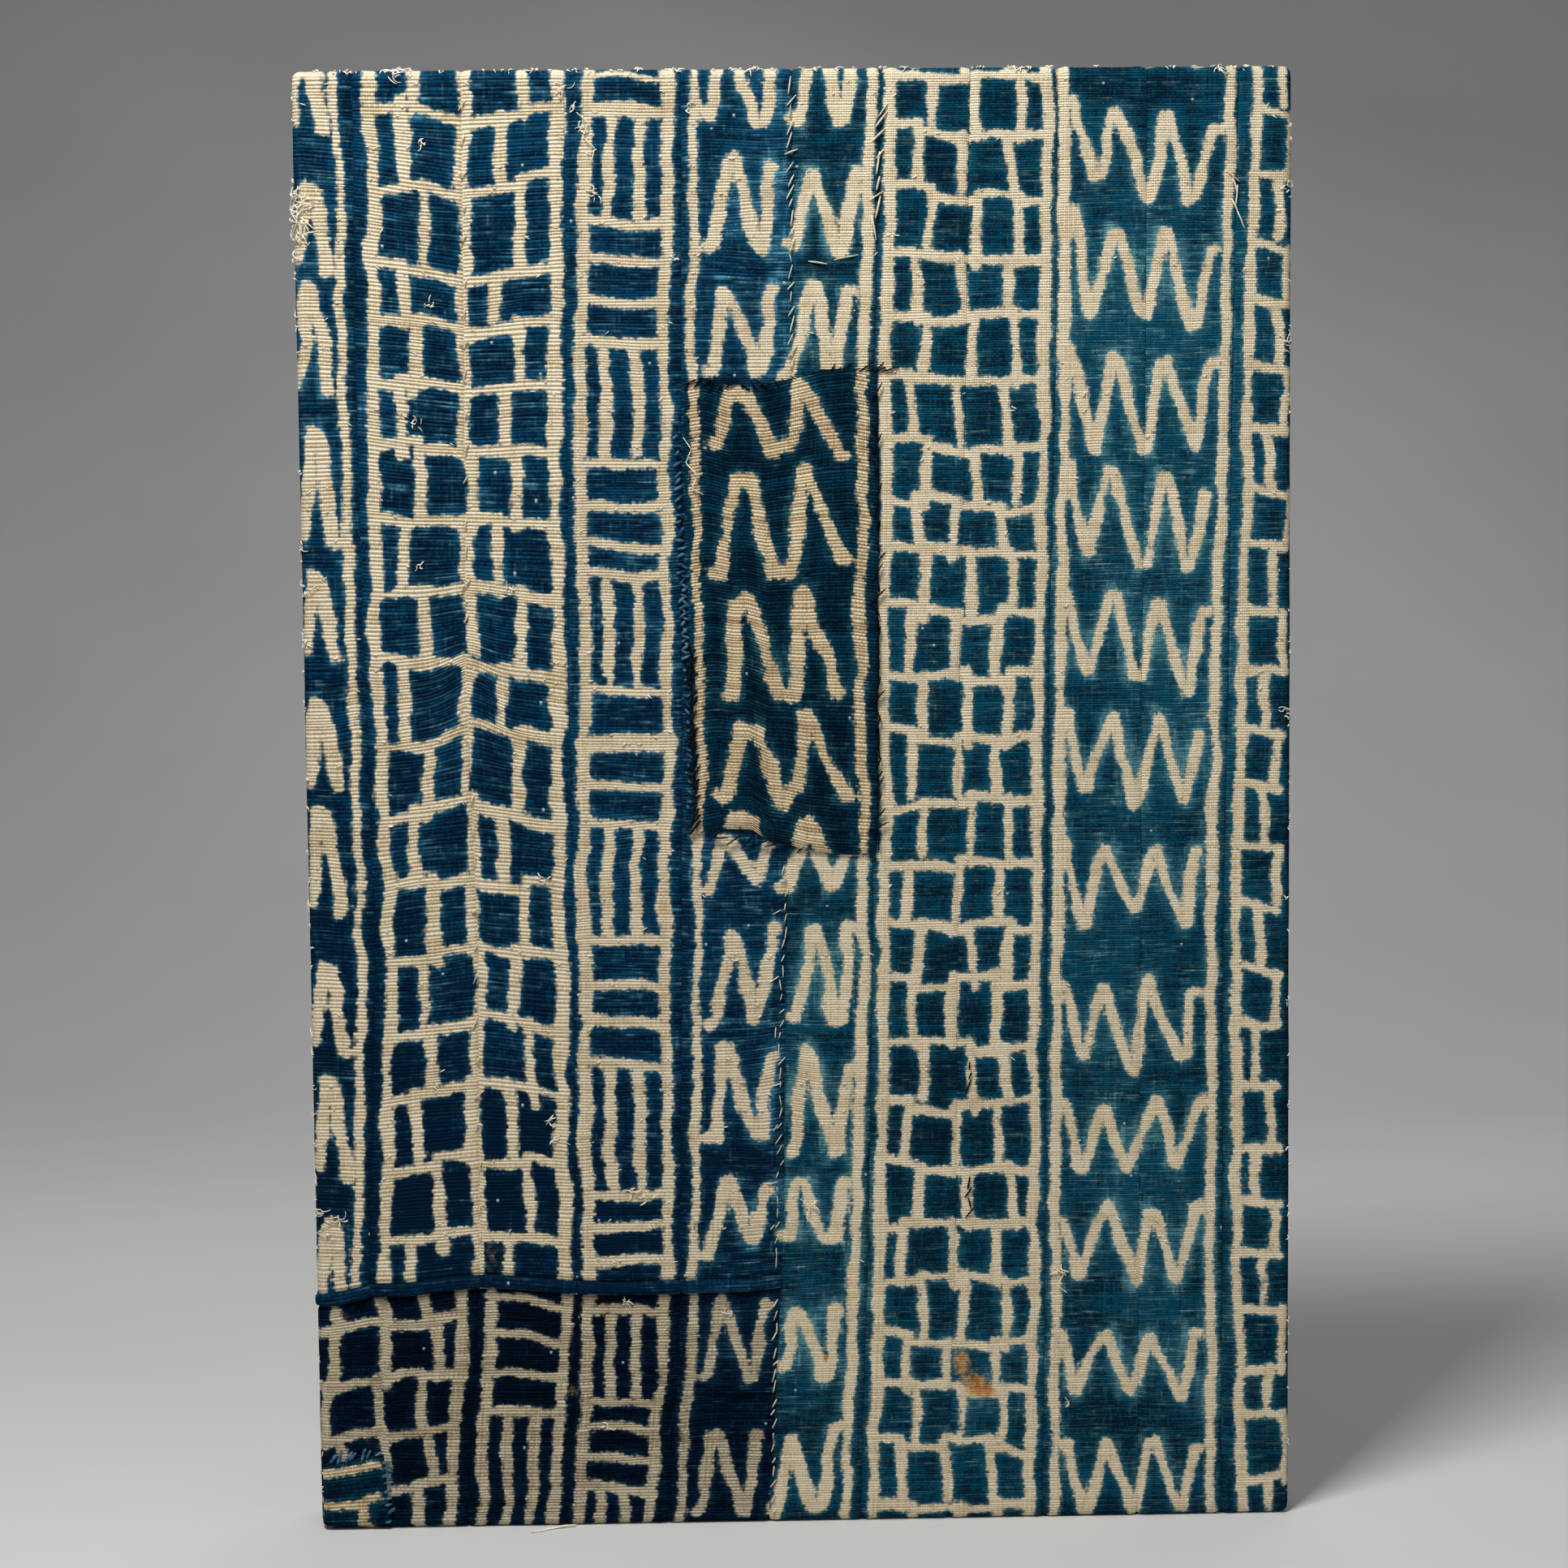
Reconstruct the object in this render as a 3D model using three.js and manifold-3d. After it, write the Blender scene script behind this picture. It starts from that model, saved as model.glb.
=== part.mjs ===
import * as THREE from 'three';
import { mergeVertices } from 'three/addons/utils/BufferGeometryUtils.js';
import Module from 'manifold-3d';

const wasm = await Module();
wasm.setup();

// Driving dimensions of the stretched cloth, in millimetres
const panelWidth = 508;
const panelHeight = 752;
const panelDepth = 38;
const clothThickness = 1.5;
const patchThickness = 1.2;
const gap = 0.3;
const edgeRadius = 4.5;
const cornerRadius = 6;
const edgeSegments = 4;
const backMargin = 26;
const backMarginWave = 1.6;
const backMarginStep = 47;
const cutReach = 20;

// Wooden stretcher: a lip along its outer edge and a face that slopes away from the cloth
const barWidth = 44;
const lipWidth = 7;
const faceSlope = 4;
const barChamfer = 1.5;

// Rolled seam across the lower left, and where each corner patch edge stops short of the bends
const rollHalfWidth = 3.4;
const rollHeight = 2.6;
const rollSunk = 0.7;
const rollSides = 7;
const patchHold = 0.9;

// Seams between the full strips: distance from the left edge at each level below the top edge
const seamLevels = { top: 0, v150: 150, v300: 300, v450: 450, v600: 600, foot: 752 };
const seams = [
  { top: 31, v150: 30, v300: 31, v450: 34, v600: 28, foot: 28 },
  { top: 86, v150: 85, v300: 83, v450: 87, v600: 85, foot: 84 },
  { top: 138, v150: 137, v300: 136, v450: 136, v600: 135, foot: 134 },
  { top: 197, v150: 195.5, v300: 194, v450: 192, v600: 189, foot: 188 },
  { top: 253, v150: 252, v300: 249, v450: 246, v600: 243, foot: 234 },
  { top: 299, v150: 294, v300: 292, v450: 291, v600: 287.5, foot: 282 },
  { top: 344, v150: 341, v300: 337, v450: 335, v600: 333, foot: 328 },
  { top: 388.5, v150: 387, v300: 383, v450: 381.5, v600: 380, foot: 378 },
  { top: 434, v150: 433, v300: 431, v450: 430, v600: 429, foot: 428 },
  { top: 481, v150: 478, v300: 476, v450: 473, v600: 473, foot: 472 },
];
const mendedStrips = 5;

// Seams between the lower strips that were let in under the rolled seam
const lowerLevels = { head: 628, middle: 690, foot: 752 };
const lowerSeams = [
  { head: 36, middle: 33, foot: 29 },
  { head: 84, middle: 80, foot: 76 },
  { head: 137, middle: 133, foot: 128 },
  { head: 189, middle: 186, foot: 181 },
];

// Middle line of the rolled seam: u from the left edge, v from the top edge, and its height there
const rollLine = [
  { u: 3, v: 630.5, high: 0.45 },
  { u: 14, v: 629, high: 0.8 },
  { u: 29, v: 625.5, high: 0.9 },
  { u: 46, v: 625.5, high: 1 },
  { u: 71, v: 622.5, high: 1 },
  { u: 92, v: 621.5, high: 1 },
  { u: 113, v: 623.5, high: 0.95 },
  { u: 132, v: 625.5, high: 1 },
  { u: 160, v: 626.5, high: 1 },
  { u: 196, v: 626, high: 0.95 },
  { u: 226, v: 625.5, high: 0.9 },
  { u: 240, v: 624, high: 0.75 },
];

// Outline of the long dark patch, clockwise from its upper left corner
const longPatch = [
  { u: 197, v: 157 },
  { u: 207, v: 155.5 },
  { u: 219, v: 160 },
  { u: 238, v: 159.5 },
  { u: 251, v: 156.5 },
  { u: 267, v: 152.5 },
  { u: 281, v: 151 },
  { u: 295, v: 154 },
  { u: 295.5, v: 205 },
  { u: 294.5, v: 300 },
  { u: 294, v: 380 },
  { u: 292, v: 401.5 },
  { u: 271, v: 400 },
  { u: 257, v: 398 },
  { u: 247, v: 395 },
  { u: 238, v: 393.5 },
  { u: 229, v: 387 },
  { u: 214, v: 386.5 },
  { u: 201, v: 389 },
  { u: 198.5, v: 352 },
  { u: 198.5, v: 252 },
  { u: 196, v: 192 },
];

// Top and right edges of the corner patch
const cornerPatch = [
  { u: -cutReach, v: 717.5 },
  { u: 6, v: 717 },
  { u: 18, v: 714.5 },
  { u: 33, v: 712 },
  { u: 34, v: 722 },
  { u: 35, v: 736 },
  { u: 37, v: panelHeight + cutReach },
];

// The depth is centred over the cloth and the rolled seam that stands proud of it
const backFace = (panelDepth + rollHeight) / 2;
const middleDepth = backFace - panelDepth / 2;
const woodInset = clothThickness + gap;

const colours = {
  coarseIndigo: 0x24506f,
  fineIndigo: 0x2b6280,
  mendIndigo: 0x1b3b58,
  patchIndigo: 0x172f4a,
  pine: 0xcdab7c,
};

function toSolid(geometry) {
  const bare = geometry.clone();
  bare.deleteAttribute('normal');
  bare.deleteAttribute('uv');
  const merged = mergeVertices(bare);
  return new wasm.Manifold(new wasm.Mesh({
    numProp: 3,
    vertProperties: Float32Array.from(merged.attributes.position.array),
    triVerts: Uint32Array.from(merged.index.array),
  }));
}

function toGeometry(solid) {
  const mesh = solid.getMesh();
  const geometry = new THREE.BufferGeometry();
  geometry.setAttribute('position', new THREE.BufferAttribute(mesh.vertProperties, mesh.numProp));
  geometry.setIndex(new THREE.BufferAttribute(mesh.triVerts, 1));
  geometry.computeVertexNormals();
  return geometry;
}

// Panel coordinates: x and z from the middle of the panel, u and v from its upper left corner
function onPanel(point) {
  return new THREE.Vector2(point.u - panelWidth / 2, panelHeight / 2 - point.v);
}

function shapeOf(points) {
  return new THREE.Shape(points.map(onPanel));
}

// A shape in the panel's plane, standing up through its whole depth or between two depths
function through(shape, front = -cutReach - panelDepth, back = cutReach + panelDepth) {
  const geometry = new THREE.ExtrudeGeometry(shape, { depth: back - front, bevelEnabled: false });
  geometry.rotateX(Math.PI / 2);
  geometry.translate(0, back, 0);
  return toSolid(geometry);
}

function roundedRectangle(width, height, radius) {
  const shape = new THREE.Shape();
  const x = width / 2 - radius;
  const y = height / 2 - radius;
  shape.absarc(x, -y, radius, -Math.PI / 2, 0);
  shape.absarc(x, y, radius, 0, Math.PI / 2);
  shape.absarc(-x, y, radius, Math.PI / 2, Math.PI);
  shape.absarc(-x, -y, radius, Math.PI, Math.PI * 1.5);
  return shape;
}

// The panel's rounded block, grown by an outset beyond the cloth's outer face
function panelBlock(outset) {
  const radius = edgeRadius + outset;
  const outline = roundedRectangle(
    panelWidth + 2 * outset,
    panelHeight + 2 * outset,
    cornerRadius + outset,
  );
  const geometry = new THREE.ExtrudeGeometry(outline, {
    depth: panelDepth + 2 * outset - 2 * radius,
    curveSegments: edgeSegments,
    bevelEnabled: true,
    bevelThickness: radius,
    bevelSize: radius,
    bevelOffset: -radius,
    bevelSegments: edgeSegments,
  });
  geometry.rotateX(Math.PI / 2);
  geometry.translate(0, backFace + outset - radius, 0);
  return toSolid(geometry);
}

// The raw edge of the back margin, a little uneven
function windowShape() {
  const points = [];
  const right = panelWidth - backMargin;
  const foot = panelHeight - backMargin;
  const wave = (along) => backMarginWave * Math.sin(along / backMarginStep);
  for (let u = backMargin; u < right; u += backMarginStep) {
    points.push({ u, v: backMargin + wave(u) });
  }
  for (let v = backMargin; v < foot; v += backMarginStep) {
    points.push({ u: right + wave(v + backMarginStep), v });
  }
  for (let u = right; u > backMargin; u -= backMarginStep) {
    points.push({ u, v: foot + wave(2 * u) });
  }
  for (let v = foot; v > backMargin; v -= backMarginStep) {
    points.push({ u: backMargin + wave(2 * v), v });
  }
  return shapeOf(points);
}

// The whole cloth as one folded skin: front, four sides and the margins turned over the back
function wrappedSkin() {
  const skin = panelBlock(0).subtract(panelBlock(-clothThickness));
  return skin.subtract(through(windowShape(), middleDepth));
}

function seamPoints(seam, levels, shift) {
  const points = Object.keys(levels).map((level) => ({ u: seam[level] + shift, v: levels[level] }));
  const first = points[0];
  const last = points[points.length - 1];
  return [{ u: first.u, v: first.v - cutReach }, ...points, { u: last.u, v: last.v + cutReach }];
}

function straightEdge(u) {
  return [{ u, v: -cutReach }, { u, v: panelHeight + cutReach }];
}

// The slab between two seams, half a gap inside each of them
function slabBetween(left, right, levels) {
  const leftEdge = left ? seamPoints(left, levels, gap / 2) : straightEdge(-cutReach);
  const rightEdge = right ? seamPoints(right, levels, -gap / 2) : straightEdge(panelWidth + cutReach);
  return through(shapeOf([...leftEdge, ...rightEdge.reverse()]));
}

// The cut line under the rolled seam, moved down by an amount
function rollFoot(shift) {
  const line = rollLine.map(({ u, v }) => ({ u, v: v + rollHalfWidth + shift }));
  const first = line[0];
  const last = line[line.length - 1];
  return [{ u: -cutReach, v: first.v }, ...line, { u: last.u + cutReach, v: last.v }];
}

function aboveRoll() {
  const line = rollFoot(-gap / 2);
  const end = line[line.length - 1];
  return through(shapeOf([...line, { u: end.u, v: -cutReach }, { u: -cutReach, v: -cutReach }]));
}

function belowRoll() {
  const line = rollFoot(gap / 2);
  const end = line[line.length - 1];
  const foot = panelHeight + cutReach;
  return through(shapeOf([...line, { u: end.u, v: foot }, { u: -cutReach, v: foot }]));
}

// The rolled seam: half-round sections lofted along its line and closed at both ends
function rolledSeam() {
  const frontFace = backFace - panelDepth;
  const ring = rollSides + 2;
  const positions = [];
  for (const { u, v, high } of rollLine) {
    const middle = onPanel({ u, v });
    positions.push(middle.x, frontFace + rollSunk, middle.y - rollHalfWidth);
    for (let side = 0; side < rollSides; side += 1) {
      const angle = (Math.PI * side) / (rollSides - 1);
      const across = -rollHalfWidth * Math.cos(angle);
      const proud = rollHeight * high * Math.sin(angle);
      positions.push(middle.x, frontFace - proud, middle.y + across);
    }
    positions.push(middle.x, frontFace + rollSunk, middle.y + rollHalfWidth);
  }
  const faces = [];
  for (let row = 0; row < rollLine.length - 1; row += 1) {
    for (let side = 0; side < ring; side += 1) {
      const a = row * ring + side;
      const b = row * ring + ((side + 1) % ring);
      faces.push(a, a + ring, b, b, a + ring, b + ring);
    }
  }
  const lastRing = (rollLine.length - 1) * ring;
  for (let side = 1; side < ring - 1; side += 1) {
    faces.push(0, side, side + 1);
    faces.push(lastRing, lastRing + side + 1, lastRing + side);
  }
  const geometry = new THREE.BufferGeometry();
  geometry.setAttribute('position', new THREE.Float32BufferAttribute(positions, 3));
  geometry.setIndex(faces);
  return toSolid(geometry);
}

function piece(name, solid, colour, roughness = 0.92) {
  const material = new THREE.MeshStandardMaterial({ color: colour, roughness, metalness: 0 });
  const mesh = new THREE.Mesh(toGeometry(solid), material);
  mesh.name = name;
  return mesh;
}

function numbered(base, index) {
  return `${base}_${String(index + 1).padStart(2, '0')}`;
}

// Upper strips run down to the rolled seam on the left, and the whole height on the right
function fullStrips(skin) {
  const upper = skin.add(rolledSeam()).intersect(aboveRoll());
  return Array.from({ length: seams.length + 1 }, (_, index) => {
    const mended = index < mendedStrips;
    const slab = slabBetween(seams[index - 1], seams[index], seamLevels);
    const colour = mended ? colours.coarseIndigo : colours.fineIndigo;
    return piece(numbered('strip', index), (mended ? upper : skin).intersect(slab), colour);
  });
}

function lowerStrips(skin) {
  const inner = slabBetween(null, seams[mendedStrips - 1], seamLevels);
  const lower = skin.intersect(belowRoll()).intersect(inner);
  return Array.from({ length: lowerSeams.length + 1 }, (_, index) => {
    const slab = slabBetween(lowerSeams[index - 1], lowerSeams[index], lowerLevels);
    return piece(numbered('lower_strip', index), lower.intersect(slab), colours.mendIndigo);
  });
}

// A patch lies on the cloth, a gap proud of it
function patchSkin() {
  return panelBlock(gap + patchThickness).subtract(panelBlock(gap));
}

function patches() {
  const all = roundedRectangle(2 * panelWidth, 2 * panelHeight, cornerRadius);
  const frontSkin = patchSkin().subtract(through(all, middleDepth));
  const long = frontSkin.intersect(through(shapeOf(longPatch)));
  const held = through(roundedRectangle(
    panelWidth - 2 * patchHold,
    panelHeight - 2 * patchHold,
    cornerRadius - patchHold,
  ));
  const reach = panelHeight + cutReach;
  const corner = frontSkin
    .intersect(held)
    .intersect(through(shapeOf([...cornerPatch, { u: -cutReach, v: reach }])));
  return [
    piece('patch_long', long, colours.patchIndigo),
    piece('patch_corner', corner, colours.patchIndigo),
  ];
}

// One mitred bar, lying along the lower edge of a frame of the given half height
function barSolid(length, halfHeight, block) {
  const back = backFace - woodInset;
  const front = back - panelDepth + 2 * woodInset;
  const outer = -halfHeight + woodInset;
  const inner = outer + barWidth;
  const profile = new THREE.Shape([
    new THREE.Vector2(outer, back),
    new THREE.Vector2(outer, front),
    new THREE.Vector2(outer + lipWidth, front),
    new THREE.Vector2(inner, front + faceSlope),
    new THREE.Vector2(inner, back - barChamfer),
    new THREE.Vector2(inner - barChamfer, back),
  ]);
  const geometry = new THREE.ExtrudeGeometry(profile, { depth: length, bevelEnabled: false });
  geometry.translate(0, 0, -length / 2);
  geometry.applyMatrix4(new THREE.Matrix4().makeBasis(
    new THREE.Vector3(0, 0, 1),
    new THREE.Vector3(0, 1, 0),
    new THREE.Vector3(-1, 0, 0),
  ));
  const half = length / 2 - woodInset - (gap / 2) * Math.SQRT2;
  const mitre = through(new THREE.Shape([
    new THREE.Vector2(-half, outer),
    new THREE.Vector2(half, outer),
    new THREE.Vector2(half - barWidth, inner),
    new THREE.Vector2(barWidth - half, inner),
  ]));
  return toSolid(geometry).intersect(mitre).intersect(block);
}

function stretcher() {
  const block = panelBlock(-woodInset);
  const turned = toGeometry(block);
  turned.rotateY(-Math.PI / 2);
  const short = barSolid(panelWidth, panelHeight / 2, block);
  const long = barSolid(panelHeight, panelWidth / 2, toSolid(turned));
  const bars = [
    { name: 'bar_bottom', solid: short, turn: 0 },
    { name: 'bar_top', solid: short, turn: Math.PI },
    { name: 'bar_left', solid: long, turn: Math.PI / 2 },
    { name: 'bar_right', solid: long, turn: -Math.PI / 2 },
  ];
  const frame = new THREE.Group();
  for (const { name, solid, turn } of bars) {
    const bar = piece(name, solid, colours.pine, 0.75);
    bar.rotation.y = turn;
    frame.add(bar);
  }
  return frame;
}

function cloth() {
  const skin = wrappedSkin();
  const sewn = new THREE.Group();
  sewn.add(...fullStrips(skin), ...lowerStrips(skin), ...patches());
  return sewn;
}

const group = new THREE.Group();
group.add(stretcher(), cloth());
group.position.z = panelHeight / 2;
group.updateMatrixWorld(true);

export default group;
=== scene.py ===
import math

import bpy
import numpy as np
from mathutils import Matrix, Vector


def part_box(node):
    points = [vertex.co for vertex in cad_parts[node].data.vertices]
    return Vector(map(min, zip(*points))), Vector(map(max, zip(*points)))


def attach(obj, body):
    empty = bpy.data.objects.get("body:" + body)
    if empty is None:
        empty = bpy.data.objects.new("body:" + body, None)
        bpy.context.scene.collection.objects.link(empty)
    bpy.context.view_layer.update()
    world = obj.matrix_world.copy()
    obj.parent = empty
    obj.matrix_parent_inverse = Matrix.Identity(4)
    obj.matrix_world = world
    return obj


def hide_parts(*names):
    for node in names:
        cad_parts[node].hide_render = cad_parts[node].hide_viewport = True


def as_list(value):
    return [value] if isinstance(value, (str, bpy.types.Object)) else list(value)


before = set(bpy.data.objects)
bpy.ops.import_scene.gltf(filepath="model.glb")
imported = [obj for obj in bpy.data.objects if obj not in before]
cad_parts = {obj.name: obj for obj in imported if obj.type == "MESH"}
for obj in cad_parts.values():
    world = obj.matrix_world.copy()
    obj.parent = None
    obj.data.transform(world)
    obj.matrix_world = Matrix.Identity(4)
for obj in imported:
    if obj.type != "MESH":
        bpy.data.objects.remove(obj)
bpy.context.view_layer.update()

bl_info = {
    "name": "Ndop Cloth Panel",
    "version": (1, 0, 0),
    "blender": (4, 5, 0),
    "location": "View3D > Sidebar > Ndop Cloth",
    "description": "Indigo resist-dyed strip cloth, patched and stretched over a wooden frame",
    "category": "Object",
}

BODY = "root"
MM = 0.001

# The panel's sizes in millimetres. u runs right from its left edge and v down from its top edge.
WIDE = (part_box("strip_11")[1][0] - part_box("strip_01")[0][0]) / MM
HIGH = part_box("strip_06")[1][2] / MM
FRONT_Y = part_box("strip_06")[0][1] / MM
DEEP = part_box("strip_06")[1][1] / MM - FRONT_Y
EDGE_RADIUS = 4.5
CORNER_RADIUS = 6.0
BACK_MARGIN = 26.0
# How far past the front's edges the marks go on, for the cloth that is turned over
REACH = 90.0

# Seams between the strips: distance from the left edge at each level below the top edge
SEAM_LEVELS = (0, 150, 300, 450, 600, 752)
SEAMS = (
    (31, 30, 31, 34, 28, 28),
    (86, 85, 83, 87, 85, 84),
    (138, 137, 136, 136, 135, 134),
    (197, 195.5, 194, 192, 189, 188),
    (253, 252, 249, 246, 243, 234),
    (299, 294, 292, 291, 287.5, 282),
    (344, 341, 337, 335, 333, 328),
    (388.5, 387, 383, 381.5, 380, 378),
    (434, 433, 431, 430, 429, 428),
    (481, 478, 476, 473, 473, 472),
)
MENDED_STRIPS = 5
LOWER_LEVELS = (628, 690, 752)
LOWER_SEAMS = ((36, 33, 29), (84, 80, 76), (137, 133, 128), (189, 186, 181))

# Middle line of the rolled seam as (u, v, share of its full height)
ROLL_LINE = (
    (3, 630.5, 0.45), (14, 629, 0.8), (29, 625.5, 0.9), (46, 625.5, 1), (71, 622.5, 1),
    (92, 621.5, 1), (113, 623.5, 0.95), (132, 625.5, 1), (160, 626.5, 1), (196, 626, 0.95),
    (226, 625.5, 0.9), (240, 624, 0.75),
)
ROLL_HALF = 3.4
ROLL_HIGH = 2.6

# Edges of the long patch as (u, v), each from its left or upper end
PATCH_TOP = (
    (197, 157), (207, 155.5), (219, 160), (238, 159.5), (251, 156.5), (267, 152.5), (281, 151),
    (295, 154),
)
PATCH_FOOT = (
    (201, 389), (214, 386.5), (229, 387), (238, 393.5), (247, 395), (257, 398), (271, 400),
    (292, 401.5),
)
PATCH_LEFT = ((197, 157), (196, 192), (198.5, 252), (198.5, 352), (201, 389))
PATCH_RIGHT = ((295, 154), (295.5, 205), (294.5, 300), (294, 380), (292, 401.5))
CORNER_TOP = ((1.5, 717), (18, 714.5), (33, 712))
CORNER_RIGHT = ((33, 712), (34, 722), (35, 736), (36, 750))
CORNER_LEFT = ((1.5, 717), (1.5, 750))
CORNER_FOOT = ((1.5, 750), (35, 750))
# Where the long patch lies under the stitches: its highest and lowest v
PATCH_SPAN = (158, 396)
# Width and length that each patch was cut to
PATCH_LONG_FLAT = (98, 245)
PATCH_CORNER_FLAT = (34, 37)

# Border lines of the columns: u at each seam level, and half the line's width
BORDERS = {
    "left": ((22.5, 23.3, 25, 26.5, 21.5, 21), 2.3),
    "grid_left": ((40.7, 39, 37.7, 41.8, 36.5, 34), 3.1),
    "grid_right": ((133.5, 131.8, 129.3, 129.3, 128.8, 128), 3.3),
    "ladder_left": ((149, 144, 143, 141.5, 141.3, 141), 3.1),
    "ladder_right": ((190, 186, 186, 184, 182.7, 182), 2.7),
    "wave_left": ((203, 200.5, 203, 200.5, 196.5, 187.5), 2.2),
    "wave_right": ((294, 288.7, 285.3, 286.3, 281, 274), 2.7),
    "mesh_left": ((303.3, 300, 298, 296.7, 293.7, 288.7), 2.9),
    "mesh_right": ((384.2, 381, 377, 375.3, 373.3, 370.8), 2.7),
    "fade_left": ((392, 391.7, 388, 386.7, 384.7, 384.2), 2.7),
    "fade_right": ((476.3, 473.3, 469.7, 466, 467, 467.5), 2.5),
    "edge_left": ((490, 485.3, 483.3, 479, 480.8, 484), 2.6),
}
# Those that stop at the rolled seam
UPPER_ONLY = ("left", "grid_left", "grid_right", "ladder_left", "ladder_right", "wave_left")

# Zigzag rows as (v of the peaks, v of the feet), and for the faded column also how far they
# drop to the right
EDGE_WAVE_ROWS = (
    (-70, -28), (-14, 30), (55, 98), (108, 160), (183, 236), (255, 296), (318, 362), (375, 427),
    (456, 498), (513, 563), (588, 640),
)
WAVE_ROWS = (
    (-78, -34), (-22, 25), (50, 92), (113, 154), (168, 200), (390, 416), (438, 486), (503, 550),
    (572, 604), (638, 672), (706, 744), (768, 806),
)
PATCH_WAVE_ROWS = ((160, 190), (206, 254), (269, 316), (331, 370), (382, 414))
FADE_ROWS = (
    (-75, -38, 4), (-26, -6, 4), (22, 61, 13), (84, 126, 15), (148, 191, 9), (209, 250, 14),
    (271, 313, 10), (335, 373, 9), (399, 437, 4), (470, 510, 3), (532, 565, 3), (591, 627, 5),
    (652, 687, 3), (712, 747, 2), (765, 800, 0),
)

# Crossbars of the left grid: v at its left border, its middle, its seam and its right border
GRID_BARS = (
    (-60, -58, -56, -60), (-20, -18, -14, -20), (20, 20, 29, 20), (58, 55, 61, 54),
    (93, 97, 104, 97), (126, 126, 131, 125), (153, 160, 161, 158), (192, 189, 189, 192),
    (226, 229, 229, 233), (264, 264, 263, 268), (298, 303, 298, 309), (342, 342, 331, 343),
    (382, 377, 372, 383), (416, 413, 411, 416), (455, 454, 447, 453), (493, 489, 483, 492),
    (525, 522, 519, 527), (562, 559, 556, 561), (601, 599, 594, 597), (640, 640, 640, 640),
)
# Crossbars of the right mesh: v at its left border, at one and two thirds and its right border
MESH_BARS = (
    (-58, -58, -58, -60), (-28, -27, -26, -28), (2, 3, 2, 3), (30, 33, 34, 30), (60, 63, 67, 64),
    (95, 97, 97, 96), (127, 129, 124, 125), (155, 160, 161, 160), (188, 191, 197, 193),
    (217, 220, 222, 222), (243, 247, 247, 247), (272, 278, 279, 280), (307, 310, 308, 309),
    (336, 340, 343, 343), (377, 371, 372, 373), (405, 404, 407, 408), (432, 435, 441, 438),
    (466, 468, 468, 466), (502, 500, 503, 503), (532, 533, 533, 532), (563, 565, 565, 566),
    (596, 594, 597, 597), (627, 624, 626, 627), (653, 656, 657, 658), (682, 680, 682, 684),
    (710, 710, 712, 717), (747, 744, 744, 746), (778, 778, 777, 778), (806, 806, 808, 806),
)
# Boxes down the right edge: v of each bar, and how far its right end drops
EDGE_BARS = (
    (-52, 2), (-18, 3), (21, 7), (54, 5), (89, 7), (118, 3), (152, 4), (184, 2), (214, 4),
    (242, 3), (277, 3), (306, 3), (337, 5), (367, 2), (399, 1), (428, 5), (461, 6), (492, 1),
    (523, 3), (558, -2), (585, 1), (612, 1), (642, 2), (677, -3), (698, 2), (735, -3), (768, 2),
)
# Ladder rungs as (v, drop to the right, half width), and the levels between which uprights stand
RUNGS = (
    (-40, 2, 2.4), (-16, 1, 2.4), (3, 2, 1.6), (20, 2, 3.4), (76, 2, 2.6), (95, 2, 2.4),
    (115, 3, 2.4), (134, 5, 2.6), (197, 2, 2.6), (220, -1, 2.4), (238, 4, 2.4), (255, 1, 2.6),
    (314, 1, 2.6), (341, -1, 4.6), (360, 5, 2.4), (381, 3, 2.6), (444, 1, 2.6), (466, 2, 2.4),
    (485, 3, 2.4), (506, 3, 2.6), (576, 0, 2.4), (594, -2, 2.6), (612, 0, 2.6),
)
UPRIGHT_SPANS = ((24, 74), (139, 194), (259, 312), (385, 441), (510, 574))

# Border lines below the rolled seam: u where they start, u at the lower edge, half the width
LOWER_BORDERS = {
    name: ((above,) * 5 + (below,), half) for name, above, below, half in (
        ("lower_left", -16, -16, 2.2), ("lower_grid", 78, 67, 3.1), ("third_left", 92.5, 83, 3.0),
        ("third_right", 132, 121, 3.0), ("fourth_left", 143, 135, 2.8),
        ("fourth_right", 183, 171, 2.6), ("fifth_left", 198, 187, 2.4))
}
ALL_BORDERS = {**BORDERS, **LOWER_BORDERS}
# Share of its stated width that a border line is drawn with
BORDER_SLIM = 0.93
# Crossbars of the lower grid: the level of the first, hidden one, and their pitch
LOWER_TOP = 614
LOWER_GRID_PITCH = 29
# Stripes of the corner patch, as (half width, (u, v) points)
CORNER_MARKS = (
    (2.1, ((-4, 722), (30, 718))), (1.8, ((-4, 741), (18, 738), (31, 734))),
    (2.0, ((22, 740), (25, 752))),
)


def lerp_levels(values, v):
    return np.interp(v, SEAM_LEVELS, values)


def border_at(name, v):
    return lerp_levels(ALL_BORDERS[name][0], v)


def across(left, right, share, v):
    """The u that lies at this share of the way from one border to the other, at level v."""
    low, high = border_at(left, v), border_at(right, v)
    return low + (high - low) * share


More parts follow.
